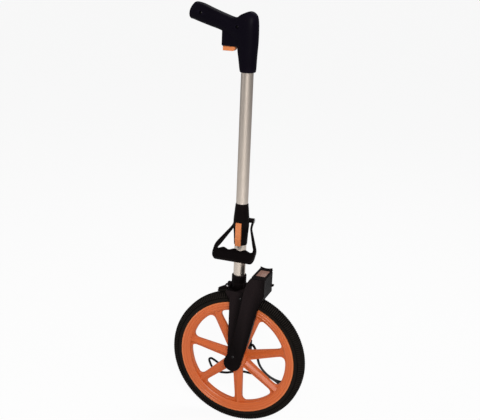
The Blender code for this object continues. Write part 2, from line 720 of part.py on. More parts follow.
# ================================================================ fork
def leg_outline():
    half = LEG_WIDTH / 2
    return arc((AXLE.x, AXLE.z), half, pi, tau, 11) + [(half, CROWN_TOP), (-half, CROWN_TOP)]


def crown_outline():
    back = POLE_X - CROWN_BACK
    bottom = CROWN_BOTTOM - LEG_WIDTH / 2
    corners = [(back, CROWN_BOTTOM + CROWN_EDGE), (-LEG_WIDTH / 2, bottom), (LEG_WIDTH / 2, bottom),
               (CROWN_FRONT, CROWN_BOTTOM + CROWN_EDGE), (CROWN_FRONT, CROWN_TOP), (back, CROWN_TOP)]
    return rounded(corners, CROWN_EDGE, 3)


def fork_half(name, side):
    """One moulded half: leg, half the crown over the tyre and half the collar."""
    inside, outside = side * LEG_INSIDE, side * LEG_OUTSIDE
    plane = side * GAP / 2
    leg = plate(name, [leg_outline()], *sorted((inside, outside)), slot="black_plastic")
    soften(leg, LEG_EDGE)
    crown_side = outside - side * CROWN_STEP
    crown = plate(name + "_crown", [crown_outline()], *sorted((plane, crown_side)))
    soften(crown, CROWN_EDGE / 2)
    tunnel = block(name + "_tunnel", (-LEG_WIDTH, -LEG_INSIDE, WHEEL_RADIUS),
                   (BOX_FRONT, LEG_INSIDE, CROWN_BOTTOM))
    cut(crown, tunnel)
    collar_radius = TUBE_RADIUS + COLLAR_WALL
    collar = rod(name + "_collar", collar_radius, CROWN_BOTTOM + CROWN_EDGE, COLLAR_TOP, "Z",
                 (POLE_X, 0, 0))
    soften(collar, COLLAR_WALL / 3)
    beyond = side * (collar_radius + OVERRUN)
    keep(collar, block(name + "_side", (POLE_X - collar_radius - OVERRUN, min(plane, beyond), CROWN_BOTTOM),
                       (POLE_X + collar_radius + OVERRUN, max(plane, beyond), COLLAR_TOP + OVERRUN)))
    ear_width = (side * (BRAKE_WIDTH / 2 + PLAY), side * (BRAKE_WIDTH / 2 + PLAY + BRAKE_EAR_WIDTH))
    pivot_place = (BRAKE_PIVOT_X, BRAKE_PIVOT_Z)
    ear_outline = arc(pivot_place, BRAKE_EAR, pi / 2, pi * 3 / 2, 9) \
        + [(POLE_X - CROWN_BACK / 2 - COLLAR_WALL, BRAKE_PIVOT_Z - BRAKE_EAR),
           (POLE_X - CROWN_BACK / 2 - COLLAR_WALL, BRAKE_PIVOT_Z + BRAKE_EAR)]
    ear = plate(name + "_ear", [ear_outline], *sorted(ear_width))
    join(leg, crown, collar, ear)
    slot_half = BRAKE_WIDTH / 2 + PLAY
    slot = block(name + "_slot", (BRAKE_PIVOT_X - BRAKE_EAR * 2, -slot_half, CROWN_BOTTOM - OVERRUN),
                 (BRAKE_PIVOT_X + BRAKE_EAR - GAP, slot_half, CROWN_TOP + OVERRUN))
    bore = rod(name + "_bore", TUBE_RADIUS + GAP, CROWN_BOTTOM + TUBE_FLOOR, COLLAR_TOP + OVERRUN,
               "Z", (POLE_X, 0, 0))
    bush_hole = rod(name + "_bush_hole", AXLE_RADIUS + GAP * 2 + BUSH_WALL, -LEG_OUTSIDE - OVERRUN,
                    LEG_OUTSIDE + OVERRUN, "Y", AXLE)
    pin_hole = rod(name + "_pin_hole", BRAKE_BORE + GAP, -LEG_OUTSIDE - OVERRUN, LEG_OUTSIDE + OVERRUN,
                   "Y", (BRAKE_PIVOT_X, 0, BRAKE_PIVOT_Z), steps=BORE_STEPS)
    screw_hole = rod(name + "_screw_hole", SCREW_RADIUS + GAP, -LEG_OUTSIDE - OVERRUN,
                     LEG_OUTSIDE + OVERRUN, "Y", FORK_SCREW_PLACE, steps=BORE_STEPS)
    cut(leg, slot, bore, bush_hole, pin_hole, screw_hole)
    return leg


FORK_SCREW_PLACE = Vector((LEG_WIDTH / 2 - SCREW_HEAD - LEG_EDGE, 0, CROWN_BOTTOM - SCREW_HEAD * 2))


def fork():
    near = fork_half("fork_near", NEAR)
    far = fork_half("fork_far", FAR)
    cover_hole = rod("cover_screw_hole", SCREW_RADIUS + GAP, -LEG_OUTSIDE - OVERRUN,
                     -LEG_INSIDE + OVERRUN, "Y", COVER_SCREW_PLACE, steps=BORE_STEPS)
    cut(near, cover_hole)
    for number, place in enumerate(bracket_screw_places()):
        cut(far, rod(f"bracket_hole_{number}", SCREW_RADIUS + GAP, LEG_INSIDE - OVERRUN,
                     LEG_OUTSIDE + OVERRUN, "Y", place, steps=BORE_STEPS))
    return solve_by_manifold(near), solve_by_manifold(far)


COVER_SCREW_PLACE = Vector((COVER_SCREW_AHEAD, 0, AXLE.z + COVER_SCREW_RISE))


def bracket_screw_places():
    across = BRACKET_HALF - SCREW_HEAD - BRACKET_EDGE
    return [Vector((side * across, 0, STAND_PIVOT_Z - BRACKET_DROP + SCREW_HEAD + BRACKET_EDGE))
            for side in (-1, 1)]


def fork_screws():
    """One screw through each leg's top into the crown's middle."""
    tip = LEG_INSIDE + GAP
    screw_piece("fork_screw_near", FORK_SCREW_PLACE, -tip, -LEG_OUTSIDE - GAP, -1)
    screw_piece("fork_screw_far", FORK_SCREW_PLACE, tip, LEG_OUTSIDE + GAP, 1)


def axle_bushes():
    """A flanged bush in each leg."""
    inner, outer = AXLE_RADIUS + GAP, AXLE_RADIUS + GAP + BUSH_WALL
    end = LEG_OUTSIDE
    flange_low, flange_high = end + GAP, end + GAP + FLANGE_THICKNESS
    start = LEG_INSIDE
    turned("axle_bush_far", [(inner, flange_high), (outer + BUSH_FLANGE, flange_high),
                             (outer + BUSH_FLANGE, flange_low), (outer, flange_low), (outer, start),
                             (inner, start)], "Y", AXLE, "white_plastic", closed=True)
    ring("axle_bush_near", inner, outer, -end, -start, "Y", AXLE, "white_plastic")


# ================================================================ belt casing
def cover_outline():
    """Outline of the belt casing, from a round end at the hub to the counter."""
    length = COVER_TOP - AXLE.z

    def place(share):
        return (share[0] * COVER_FRONT, AXLE.z + share[1] * length)

    rear = smooth([place(share) for share in COVER_REAR_SHARES], 3)
    front = [place(share) for share in COVER_FRONT_SHARES]
    end = arc((AXLE.x, AXLE.z), COVER_END_RADIUS, COVER_END_FRONT, COVER_END_REAR, 11)
    return end + [tuple(point) for point in rear] + front


def unique(points):
    """Leave out points that repeat the one before."""
    made = []
    for point in points:
        if not made or (Vector(point) - Vector(made[-1])).length > GAP:
            made.append(point)
    if (Vector(made[0]) - Vector(made[-1])).length < GAP:
        made.pop()
    return made


def drive_plate():
    outline = unique(cover_outline())
    holes = [circle((AXLE.x, AXLE.z), AXLE_RADIUS + GAP * 3),
             circle((UPPER_AXIS.x, UPPER_AXIS.z), SHAFT_RADIUS + GAP * 2, 16),
             circle((COVER_SCREW_PLACE.x, COVER_SCREW_PLACE.z), SCREW_RADIUS + GAP, 16)]
    return plate("drive_plate", [outline] + holes, CASE_BACK - PLATE_THICKNESS, CASE_BACK,
                 slot="black_plastic")


def drive_cover():
    """A moulded tray: the casing's outline without its back, given a wall."""
    shell = plate("drive_cover", [unique(cover_outline())], CASE_OUT, CASE_FRONT, slot="black_plastic")
    bm = bmesh.new()
    bm.from_mesh(shell.data)
    back = [face for face in bm.faces if (shell.matrix_world.to_3x3() @ face.normal).y > cos(pi / 4)]
    bmesh.ops.delete(bm, geom=back, context="FACES")
    bm.to_mesh(shell.data)
    bm.free()
    soften(shell, COVER_EDGE)
    wall = shell.modifiers.new("wall", "SOLIDIFY")
    wall.thickness = COVER_WALL
    wall.offset = -1
    wall.use_even_offset = True
    boss = rod("cover_boss", SCREW_RADIUS * 2, CASE_OUT + COVER_WALL / 2, CASE_FRONT, "Y",
               COVER_SCREW_PLACE)
    hole = rod("cover_hole", SCREW_RADIUS + GAP, CASE_OUT - OVERRUN, CASE_FRONT + OVERRUN, "Y",
               COVER_SCREW_PLACE, steps=BORE_STEPS)
    return cut(join(shell, boss), hole)


def cover_screw():
    return screw_piece("cover_screw", COVER_SCREW_PLACE, -LEG_INSIDE - LEG_EDGE, CASE_OUT - GAP, -1)


# ================================================================ counter
def counter_body():
    body = block("counter_body", (BOX_BACK, BOX_NEAR, BOX_BOTTOM), (BOX_FRONT, BOX_FAR, BOX_TOP),
                 "black_plastic")
    soften(body, BOX_EDGE)
    inside = block("counter_hollow", (BOX_BACK + BOX_WALL, BOX_NEAR + BOX_WALL, BOX_BOTTOM + BOX_WALL),
                   (BOX_FRONT - BOX_WALL, BOX_FAR - BOX_WALL, BOX_TOP + OVERRUN))
    shaft = rod("shaft_hole", SHAFT_RADIUS + GAP, BOX_NEAR - OVERRUN, BOX_FAR + OVERRUN, "Y",
                UPPER_AXIS, steps=BORE_STEPS)
    pinions = rod("pinion_hole", SHAFT_RADIUS / 2 + GAP, BOX_NEAR - OVERRUN, BOX_FAR + OVERRUN, "Y",
                  PINION_AXIS, steps=BORE_STEPS)
    pin = rod("reset_hole", RESET_PIN + GAP, BOX_FAR - BOX_WALL - OVERRUN, BOX_FAR + OVERRUN, "Y",
              RESET_PIVOT, steps=BORE_STEPS)
    return cut(body, inside, shaft, pinions, pin)


PINION_AXIS = Vector((DRUM_X, 0, DRUM_Z - DRUM_RADIUS - PINION_RADIUS - PLAY))
RESET_PIVOT = Vector((DRUM_X, 0, BOX_BOTTOM + RESET_RISE))
RESET_PIN = SCREW_RADIUS


def window_corners(grow):
    corners = [(WINDOW_BACK - grow, WINDOW_NEAR - grow), (WINDOW_FRONT + grow, WINDOW_NEAR - grow),
               (WINDOW_FRONT + grow, WINDOW_FAR + grow), (WINDOW_BACK - grow, WINDOW_FAR + grow)]
    return rounded(corners, BOX_EDGE, 3)


def counter_screw_places():
    x_near, x_far = BOX_BACK + BOX_EDGE * 1.6, BOX_FRONT - BOX_EDGE * 1.6
    return [Vector((x, BOX_FAR - BOX_EDGE * 3.2, 0)) for x in (x_near + SCREW_HEAD / 2, x_far - SCREW_HEAD / 2)]


def counter_bezel():
    low = BOX_TOP + GAP
    high = low + BEZEL_THICKNESS
    bezel = block("counter_bezel", (BOX_BACK, BOX_NEAR, low), (BOX_FRONT, BOX_FAR, high), "black_plastic")
    soften(bezel, BEZEL_THICKNESS / 3)
    through = plate("bezel_opening", [window_corners(-WINDOW_LEDGE)], low - OVERRUN, high + OVERRUN, "XY")
    seat = plate("bezel_seat", [window_corners(GAP)], high - WINDOW_THICKNESS - GAP, high + OVERRUN, "XY")
    cut(bezel, through, seat)
    for number, place in enumerate(counter_screw_places()):
        cut(bezel, rod(f"bezel_hole_{number}", SCREW_RADIUS / 2 + GAP, low - OVERRUN, high + OVERRUN, "Z",
                       place, steps=BORE_STEPS))
    return bezel


def counter_window():
    high = BOX_TOP + GAP + BEZEL_THICKNESS
    return plate("counter_window", [window_corners(0)], high - WINDOW_THICKNESS, high, "XY",
                 slot="window_plastic")


def counter_screws():
    """Small screws in the bezel's far corners."""
    high = BOX_TOP + GAP + BEZEL_THICKNESS + GAP
    small, head = SCREW_RADIUS / 2, SCREW_RADIUS
    profile = [(0, high + head / 2), (head, high + head / 4), (head, high), (small, high),
               (small, BOX_TOP + GAP), (0, BOX_TOP + GAP)]
    for name, place in zip(("counter_screw_back", "counter_screw_front"), counter_screw_places()):
        turned(name, profile, "Z", place, "dark_steel", SCREW_STEPS)


def drum(number):
    """A number drum with chamfered edges."""
    middle = FIRST_DRUM_Y + number * DRUM_PITCH
    half = DRUM_WIDTH / 2
    bore = SHAFT_RADIUS + GAP
    chamfer = DRUM_WIDTH / 16
    upper = [(bore, half), (DRUM_RADIUS - chamfer, half), (DRUM_RADIUS, half - chamfer)]
    profile = upper + [(r, -h) for r, h in reversed(upper)]
    return turned(f"drum_{number + 1}", profile, "Y", UPPER_AXIS + Vector((0, middle, 0)),
                  "white_plastic", closed=True)


def drum_shaft():
    return rod("drum_shaft", SHAFT_RADIUS, PULLEY_OUT, BOX_FAR - BOX_WALL / 2, "Y", UPPER_AXIS, "steel", BORE_STEPS)


def pinion_outline():
    root = PINION_RADIUS * 0.68
    points = []
    for tooth in range(PINION_TEETH):
        for share, radius in ((0.0, root), (0.38, root), (0.50, PINION_RADIUS), (0.88, PINION_RADIUS)):
            angle = tau * (tooth + share) / PINION_TEETH
            points.append((PINION_AXIS.x + radius * cos(angle), PINION_AXIS.z + radius * sin(angle)))
    return points


def transfer_gears():
    """Pinions on one shaft, one between each pair of drums."""
    shaft = rod("transfer_gears", SHAFT_RADIUS / 2, BOX_NEAR + GAP, BOX_FAR - GAP, "Y", PINION_AXIS,
                "steel", BORE_STEPS)
    for number in range(DRUM_COUNT - 1):
        middle = FIRST_DRUM_Y + (number + 0.5) * DRUM_PITCH
        join(shaft, plate(f"pinion_{number}", [pinion_outline()], middle - PINION_WIDTH / 2,
                          middle + PINION_WIDTH / 2))
    return shaft


def reset_lever():
    """A lever on the far side of the counter, with a thumb pad at its end."""
    low = BOX_FAR + GAP
    high = low + RESET_THICKNESS
    centre = (RESET_PIVOT.x, RESET_PIVOT.z)
    half = RESET_HEIGHT / 2
    outline = arc(centre, RESET_BOSS, pi / 3, pi * 5 / 3, 13) \
        + [(centre[0] + RESET_REACH - half, centre[1] - half), (centre[0] + RESET_REACH, centre[1]),
           (centre[0] + RESET_REACH - half, centre[1] + half)]
    lever = plate("reset_lever", [outline], low, high, slot="black_plastic")
    pad_low = (centre[0] + RESET_REACH - half * 2, high - RESET_THICKNESS / 2, centre[1] - half * 0.8)
    pad_high = (centre[0] + RESET_REACH - half / 2, high + RESET_THICKNESS, centre[1] + half * 0.8)
    pin = rod("reset_pin", RESET_PIN, BOX_FAR - BOX_WALL + GAP, low + RESET_THICKNESS / 2, "Y",
              RESET_PIVOT, steps=BORE_STEPS)
    return join(lever, block("reset_pad", pad_low, pad_high), pin)


# ================================================================ pole and fold joint
def tube(name, low, high):
    return ring(name, TUBE_RADIUS - TUBE_WALL, TUBE_RADIUS, low, high, "Z", (POLE_X, 0, 0), "silver_tube")


def across_pole(name, radius, low, high, y, z, steps=BORE_STEPS):
    """A cylinder along X, its ends given from the pole's axis."""
    return rod(name, radius, low, high, "X", (POLE_X, y, z), steps=steps)


def hinge_lower():
    bore, throat = TUBE_RADIUS + GAP, TUBE_RADIUS - TUBE_WALL
    ledge = LOWER_TUBE_TOP + GAP
    swell = FOLD_Z - SLEEVE_SWELL
    profile = [(throat, FOLD_Z), (SLEEVE_MID_RADIUS, FOLD_Z), (SLEEVE_MID_RADIUS, FOLD_Z - SLEEVE_LIP * 6),
               (SLEEVE_END_RADIUS + SLEEVE_LIP, swell), (SLEEVE_END_RADIUS, SLEEVE_BOTTOM + SLEEVE_LIP),
               (SLEEVE_END_RADIUS - SLEEVE_LIP / 2, SLEEVE_BOTTOM), (bore, SLEEVE_BOTTOM), (bore, ledge),
               (throat, ledge)]
    sleeve = turned("hinge_lower", profile, "Z", (POLE_X, 0, 0), "black_plastic", closed=True)
    web = block("lower_web", (POLE_X - KNUCKLE_HALF, SLEEVE_MID_RADIUS - KNUCKLE_RADIUS, FOLD_Z - KNUCKLE_RADIUS),
                (POLE_X + KNUCKLE_HALF, FOLD_Y, FOLD_Z - GAP))
    knuckle = across_pole("lower_knuckle", KNUCKLE_RADIUS, -KNUCKLE_HALF, KNUCKLE_HALF, FOLD_Y, FOLD_Z)
    join(sleeve, knuckle, web)
    clear = KNUCKLE_RADIUS + PLAY
    for side, name in ((-1, "left"), (1, "right")):
        ends = sorted((side * (KNUCKLE_HALF + PLAY / 2), side * (KNUCKLE_REACH + PLAY)))
        cut(sleeve, across_pole(f"lower_notch_{name}", clear, *ends, FOLD_Y, FOLD_Z))
    pin = across_pole("lower_pin_hole", PIN_RADIUS + GAP, -KNUCKLE_REACH, KNUCKLE_REACH, FOLD_Y, FOLD_Z)
    channel = block("latch_channel", (POLE_X - LATCH_WIDTH / 2 - GAP, -SLEEVE_MID_RADIUS - OVERRUN, SLEEVE_BOTTOM - OVERRUN),
                    (POLE_X + LATCH_WIDTH / 2 + GAP, -LATCH_BACK + GAP, FOLD_Z + OVERRUN))
    return solve_by_manifold(cut(sleeve, pin, channel))


UPPER_FACE = FOLD_Z + PLAY


def hinge_upper():
    bore, throat = TUBE_RADIUS + GAP, TUBE_RADIUS - TUBE_WALL
    ledge = UPPER_TUBE_BOTTOM - GAP
    swell = FOLD_Z + SLEEVE_SWELL
    profile = [(bore, SLEEVE_TOP), (SLEEVE_END_RADIUS - SLEEVE_LIP, SLEEVE_TOP),
               (SLEEVE_END_RADIUS - SLEEVE_LIP / 2, SLEEVE_TOP - SLEEVE_LIP),
               (SLEEVE_END_RADIUS + SLEEVE_LIP, swell),
               (SLEEVE_MID_RADIUS, UPPER_FACE + SLEEVE_LIP * 6), (SLEEVE_MID_RADIUS, UPPER_FACE),
               (throat, UPPER_FACE), (throat, ledge), (bore, ledge)]
    sleeve = turned("hinge_upper", profile, "Z", (POLE_X, 0, 0), "black_plastic", closed=True)
    notch = across_pole("upper_notch", KNUCKLE_RADIUS + PLAY, -KNUCKLE_HALF - PLAY / 2,
                        KNUCKLE_HALF + PLAY / 2, FOLD_Y, FOLD_Z)
    hole = across_pole("upper_pin_hole", PIN_RADIUS + GAP, -KNUCKLE_REACH - OVERRUN, KNUCKLE_REACH + OVERRUN,
                       FOLD_Y, FOLD_Z)
    for side, name in ((-1, "left"), (1, "right")):
        ends = sorted((side * (KNUCKLE_HALF + PLAY), side * KNUCKLE_REACH))
        knuckle = across_pole(f"upper_knuckle_{name}", KNUCKLE_RADIUS, *ends, FOLD_Y, FOLD_Z)
        low, high = POLE_X + ends[0], POLE_X + ends[1]
        web = block(f"upper_web_{name}", (low, SLEEVE_MID_RADIUS - KNUCKLE_RADIUS * 1.6, UPPER_FACE + GAP),
                    (high, FOLD_Y, FOLD_Z + KNUCKLE_RADIUS))
        join(sleeve, knuckle, web)
    catch = block("latch_notch", (POLE_X - LATCH_WIDTH / 2 - GAP, -SLEEVE_MID_RADIUS - OVERRUN, UPPER_FACE - OVERRUN),
                  (POLE_X + LATCH_WIDTH / 2 + GAP, -LATCH_BACK + GAP, LATCH_TOP + PLAY))
    return solve_by_manifold(cut(sleeve, notch, hole, catch))


def hinge_pin():
    end = HANDLE_EYE_INSIDE + HANDLE_EYE_WIDTH + GAP
    head = end + PIN_HEAD_HEIGHT
    profile = [(0, head), (PIN_HEAD_RADIUS, head - PIN_HEAD_HEIGHT / 3), (PIN_HEAD_RADIUS, end),
               (PIN_RADIUS, end)]
    profile += [(radius, -height) for radius, height in reversed(profile)]
    return turned("hinge_pin", profile, "X", FOLD_PIN, "steel", BORE_STEPS)


def latch():
    """The sliding latch: a flat bar with a raised thumb ledge near its foot."""
    ledge = LATCH_BOTTOM + (LATCH_TOP - LATCH_BOTTOM) * 0.3
    outline = [(-LATCH_BACK, LATCH_BOTTOM), (-LATCH_BACK, LATCH_TOP), (-LATCH_FRONT + LATCH_THUMB / 2, LATCH_TOP),
               (-LATCH_FRONT, LATCH_TOP - LATCH_THUMB), (-LATCH_FRONT, ledge + LATCH_THUMB),
               (-LATCH_FRONT - LATCH_THUMB / 2, ledge), (-LATCH_FRONT, ledge - LATCH_THUMB),
               (-LATCH_FRONT, LATCH_BOTTOM)]
    bar = plate("latch", [outline], POLE_X - LATCH_WIDTH / 2, POLE_X + LATCH_WIDTH / 2, "YZ",
                slot="orange_plastic")
    return soften(bar, LATCH_THUMB / 5)


# ================================================================ carrying handle
def handle_frame():
    """Drawing plane of the handle: its first axis along X, its second away from the pin."""
    across = Vector((1, 0, 0))
    away = Vector((0, -sin(HANDLE_TILT), -cos(HANDLE_TILT)))
    normal = across.cross(away)
    frame = Matrix((across, away, normal)).transposed().to_4x4()
    return Matrix.Translation(FOLD_PIN) @ frame


def handle_outline():
    """The U-shaped outline, from one eye round the bar to the other eye."""
    eye_in = HANDLE_EYE_INSIDE + GAP
    eye_out = HANDLE_EYE_INSIDE + HANDLE_EYE_WIDTH - GAP
    half, depth = HANDLE_HALF, HANDLE_DEPTH
    bar = depth - HANDLE_BAR
    bend = HANDLE_EYE_RADIUS * 2.8
    side = half - HANDLE_BAR * 0.34
    outer = [(eye_out, 0), (eye_out, bend), (half, depth * 0.66), (half + GAP, depth * 0.9),
             (half - HANDLE_EDGE * 2.5, depth - HANDLE_EDGE / 2), (half * 0.5, depth)]
    inner = [(side, bar + FINGER_DEPTH), (side, bar - FINGER_DEPTH), (eye_in, bend * 1.5), (eye_in, 0)]
    right = outer
    left = [(-x, v) for x, v in reversed(outer)]
    left_inner = [(-x, v) for x, v in reversed(inner)]
    fingers = []
    for number in (-1, 0, 1):
        centre = (number * FINGER_PITCH, bar + FINGER_DEPTH - FINGER_RADIUS)
        reach = FINGER_PITCH * 0.40
        spread = atan2(reach, (FINGER_RADIUS ** 2 - reach ** 2) ** 0.5)
        fingers += arc(centre, FINGER_RADIUS, pi / 2 + spread, pi / 2 - spread, 6)
    return right + left + left_inner + fingers + inner


def handle_grooves(frame):
    """Grooves across the front and the back of both arms, each cutter reaching over the two."""
    tools = []
    half, reach = GROOVE_WIDTH / 2, HANDLE_HALF + OVERRUN
    for number in range(GROOVE_COUNT):
        along = GROOVE_START + number * GROOVE_PITCH
        outline = [(-reach, along - half), (reach, along - half), (reach, along + half), (-reach, along + half)]
        for side, name in ((-1, "back"), (1, "front")):
            face = frame @ Matrix.Translation((0, 0, side * HANDLE_THICKNESS / 2))
            tools.append(plate(f"groove_{name}_{number}", [outline], -GROOVE_DEPTH, GROOVE_DEPTH, frame=face))
    return tools


def carry_handle():
    frame = handle_frame()
    grip = plate("carry_handle", [handle_outline()], -HANDLE_THICKNESS / 2, HANDLE_THICKNESS / 2,
                 slot="black_plastic", frame=frame)
    soften(grip, HANDLE_EDGE, angle=radians(60))
    for side, name in ((-1, "left"), (1, "right")):
        ends = sorted((side * HANDLE_EYE_INSIDE, side * (HANDLE_EYE_INSIDE + HANDLE_EYE_WIDTH)))
        eye = across_pole(f"handle_eye_{name}", HANDLE_EYE_RADIUS, *ends, FOLD_Y, FOLD_Z)
        hole = across_pole(f"handle_hole_{name}", PIN_RADIUS + GAP, ends[0] - OVERRUN, ends[1] + OVERRUN,
                           FOLD_Y, FOLD_Z)
        join(grip, eye)
        cut(grip, hole)
    cut(grip, *handle_grooves(frame))
    return solve_by_manifold(grip)


# ================================================================ grip and trigger
def grip_sections():
    """Outer point, inner point and half width of each section, in X and Z."""
    raw = [(*outer, *inner, width) for outer, inner, width in GRIP_SHARES]
    made = []
    for ox, oz, ix, iz, width in smooth_rows(raw, 2):
        made.append((Vector((POLE_X + ox * GRIP_REACH, GRIP_BOTTOM + oz * GRIP_HEIGHT)),
                     Vector((POLE_X + ix * GRIP_REACH, GRIP_BOTTOM + iz * GRIP_HEIGHT)),
                     width * GRIP_HALF_WIDTH))
    return made


def smooth_rows(rows, steps):
    """Interpolate rows of numbers of any length the way smooth does points."""
    made = []
    last = len(rows) - 1
    for i in range(last):
        a, b, c, d = (rows[min(max(i + k, 0), last)] for k in (-1, 0, 1, 2))
        for step in range(steps):
            t = step / steps
            made.append(tuple(
                (2 * q + (r - p) * t + (2 * p - 5 * q + 4 * r - s) * t ** 2
                 + (3 * q - p - 3 * r + s) * t ** 3) / 2
                for p, q, r, s in zip(a, b, c, d)))
    made.append(rows[last])
    return made


def grip_loft(name, slot):
    """The whole grip's body, lofted through its sections."""
    mesh = bpy.data.meshes.new(name)
    bm = bmesh.new()
    rows = []
    for outer, inner, width in grip_sections():
        middle, half = (outer + inner) / 2, (outer - inner) / 2
        row = []
        for i in range(GRIP_SIDES):
            angle = tau * (i + 0.5) / GRIP_SIDES
            along = power_of(cos(angle), 2 / GRIP_ROUND)
            out = power_of(sin(angle), 2 / GRIP_ROUND)
            flat = middle + half * along
            row.append(bm.verts.new((flat.x, width * out, flat.y)))
        rows.append(row)
    for upper, lower in zip(rows, rows[1:]):
        for i in range(GRIP_SIDES):
            k = (i + 1) % GRIP_SIDES
            bm.faces.new((upper[i], upper[k], lower[k], lower[i]))
    bm.faces.new(rows[0])
    bm.faces.new(rows[-1])
    bmesh.ops.recalc_face_normals(bm, faces=bm.faces)
    bm.to_mesh(mesh)
    bm.free()
    return add(name, mesh, slot)


def power_of(value, exponent):
    """A power that keeps the sign, for sections between an ellipse and a box."""
    return abs(value) ** exponent * (1 if value >= 0 else -1)


def grip_screw_places():
    return [(POLE_X + x * GRIP_REACH, GRIP_BOTTOM + z * GRIP_HEIGHT) for x, z in GRIP_SCREW_SHARES]


def grip_shell(name, side):
    """One moulded half of the grip: the loft with the trigger's housing, cut at the parting plane."""
    shell = grip_loft(name, "grip_plastic")
    housing = block(name + "_housing", (BLOCK_BACK, -BLOCK_HALF, BLOCK_BOTTOM),
                    (BLOCK_FRONT, BLOCK_HALF, BLOCK_TOP))
    soften(housing, BLOCK_EDGE)
    join(shell, housing)
    bore = rod(name + "_bore", TUBE_RADIUS + GAP, GRIP_BOTTOM - OVERRUN, UPPER_TUBE_TOP + GAP, "Z",
               (POLE_X, 0, 0))
    reach = TRIGGER_HALF + PLAY
    pocket = block(name + "_pocket", (TRIGGER_BACK - PLAY, -reach, BLOCK_BOTTOM - OVERRUN),
                   (TRIGGER_FRONT + PLAY, reach, TRIGGER_TOP + TRIGGER_TRAVEL + PLAY))
    spring = rod(name + "_spring_hole", SPRING_RADIUS + SPRING_WIRE + PLAY, TRIGGER_TOP, SPRING_SEAT + GAP,
                 "Z", SPRING_PLACE, steps=BORE_STEPS)
    cut(shell, bore, pocket, spring)
    for number, (x, z) in enumerate(grip_screw_places()):
        hole = rod(f"{name}_hole_{number}", SCREW_RADIUS + GAP, -GRIP_HALF_WIDTH, SCREW_TIP + GAP, "Y",
                   (x, 0, z), steps=BORE_STEPS)
        well = rod(f"{name}_well_{number}", SCREW_WELL, -GRIP_HALF_WIDTH - OVERRUN, SCREW_SEAT, "Y",
                   (x, 0, z), steps=BORE_STEPS)
        cut(shell, hole, well)
    plane, beyond = side * GAP / 2, side * (GRIP_HALF_WIDTH + OVERRUN)
    keep(shell, block(name + "_side", (-GRIP_REACH * 2, min(plane, beyond), GRIP_BOTTOM - OVERRUN),
                      (GRIP_REACH, max(plane, beyond), GRIP_TOP + OVERRUN)))
    return solve_by_manifold(shell)


TRIGGER_TOP = BLOCK_BOTTOM + TRIGGER_RISE
SPRING_SEAT = TRIGGER_TOP + GAP + SPRING_LENGTH
SPRING_PLACE = Vector(((TRIGGER_BACK + TRIGGER_FRONT) / 2, 0, 0))
SCREW_SEAT = -GRIP_HALF_WIDTH * 0.62
SCREW_TIP = GRIP_HALF_WIDTH * 0.5


def grip_screws():
    return [screw_piece(name, Vector((x, 0, z)), SCREW_TIP, SCREW_SEAT - GAP, -1)
            for name, (x, z) in zip(("grip_screw_arm", "grip_screw_stem"), grip_screw_places())]


def trigger():
    """The brake trigger: a block that slides up into the grip, its front corner rounded."""
    bottom = BLOCK_BOTTOM - TRIGGER_DROP
    outline = [(TRIGGER_BACK, TRIGGER_TOP), (TRIGGER_BACK, bottom)]
    outline += arc((TRIGGER_FRONT - TRIGGER_NOSE, bottom + TRIGGER_NOSE), TRIGGER_NOSE, -pi / 2, 0, 5)
    outline += [(TRIGGER_FRONT, TRIGGER_TOP)]
    piece = plate("trigger", [outline], -TRIGGER_HALF, TRIGGER_HALF, slot="orange_plastic")
    return soften(piece, TRIGGER_NOSE / 5)


def trigger_spring():
    turns = SPRING_TURNS
    per_turn = 8
    rise = SPRING_LENGTH - SPRING_WIRE * 2 - GAP * 2
    low = TRIGGER_TOP + GAP + SPRING_WIRE + GAP
    points = []
    for i in range(turns * per_turn + 1):
        angle = tau * i / per_turn
        points.append((SPRING_PLACE.x + SPRING_RADIUS * cos(angle), SPRING_RADIUS * sin(angle),
                       low + rise * i / (turns * per_turn)))
    return wire("trigger_spring", points, SPRING_WIRE, "steel", resolution=0)


# ================================================================ brake
def brake_arc(radius, start, end, count=7):
    return arc((AXLE.x, AXLE.z), radius, start, end, count)


PAD_TOP = WHEEL_RADIUS + BRAKE_CLEAR + PAD_THICKNESS


def brake_arm():
    """An arm from its pivot in the crown out over the tyre."""
    lower = PAD_TOP + GAP
    upper = lower + BRAKE_ARM
    pivot_place = (BRAKE_PIVOT_X, BRAKE_PIVOT_Z)
    eye = BRAKE_BORE * 2.3
    outline = brake_arc(lower, BRAKE_END, BRAKE_START) + arc(pivot_place, eye, -pi / 3, pi * 2 / 3, 9) \
        + brake_arc(upper, BRAKE_START + (BRAKE_END - BRAKE_START) / 2, BRAKE_END, 5)
    arm = plate("brake_arm", [outline], -BRAKE_WIDTH / 2, BRAKE_WIDTH / 2, slot="black_plastic")
    return cut(arm, rod("brake_bore", BRAKE_BORE + GAP, -BRAKE_WIDTH, BRAKE_WIDTH, "Y",
                        (BRAKE_PIVOT_X, 0, BRAKE_PIVOT_Z), steps=BORE_STEPS))


def brake_pad():
    low = WHEEL_RADIUS + BRAKE_CLEAR
    outline = brake_arc(low, BRAKE_END, BRAKE_START) + brake_arc(PAD_TOP, BRAKE_START, BRAKE_END)
    return plate("brake_pad", [outline], -PAD_WIDTH / 2, PAD_WIDTH / 2, slot="black_rubber")


def brake_pin():
    end = BRAKE_WIDTH / 2 + PLAY + BRAKE_EAR_WIDTH
    head = end + PIN_HEAD_HEIGHT / 2 + GAP
    profile = [(0, head), (BRAKE_BORE * 1.5, head), (BRAKE_BORE * 1.5, end + GAP), (BRAKE_BORE, end + GAP)]
    profile += [(radius, -height) for radius, height in reversed(profile)]
    return turned("brake_pin", profile, "Y", (BRAKE_PIVOT_X, 0, BRAKE_PIVOT_Z), "steel", BORE_STEPS)


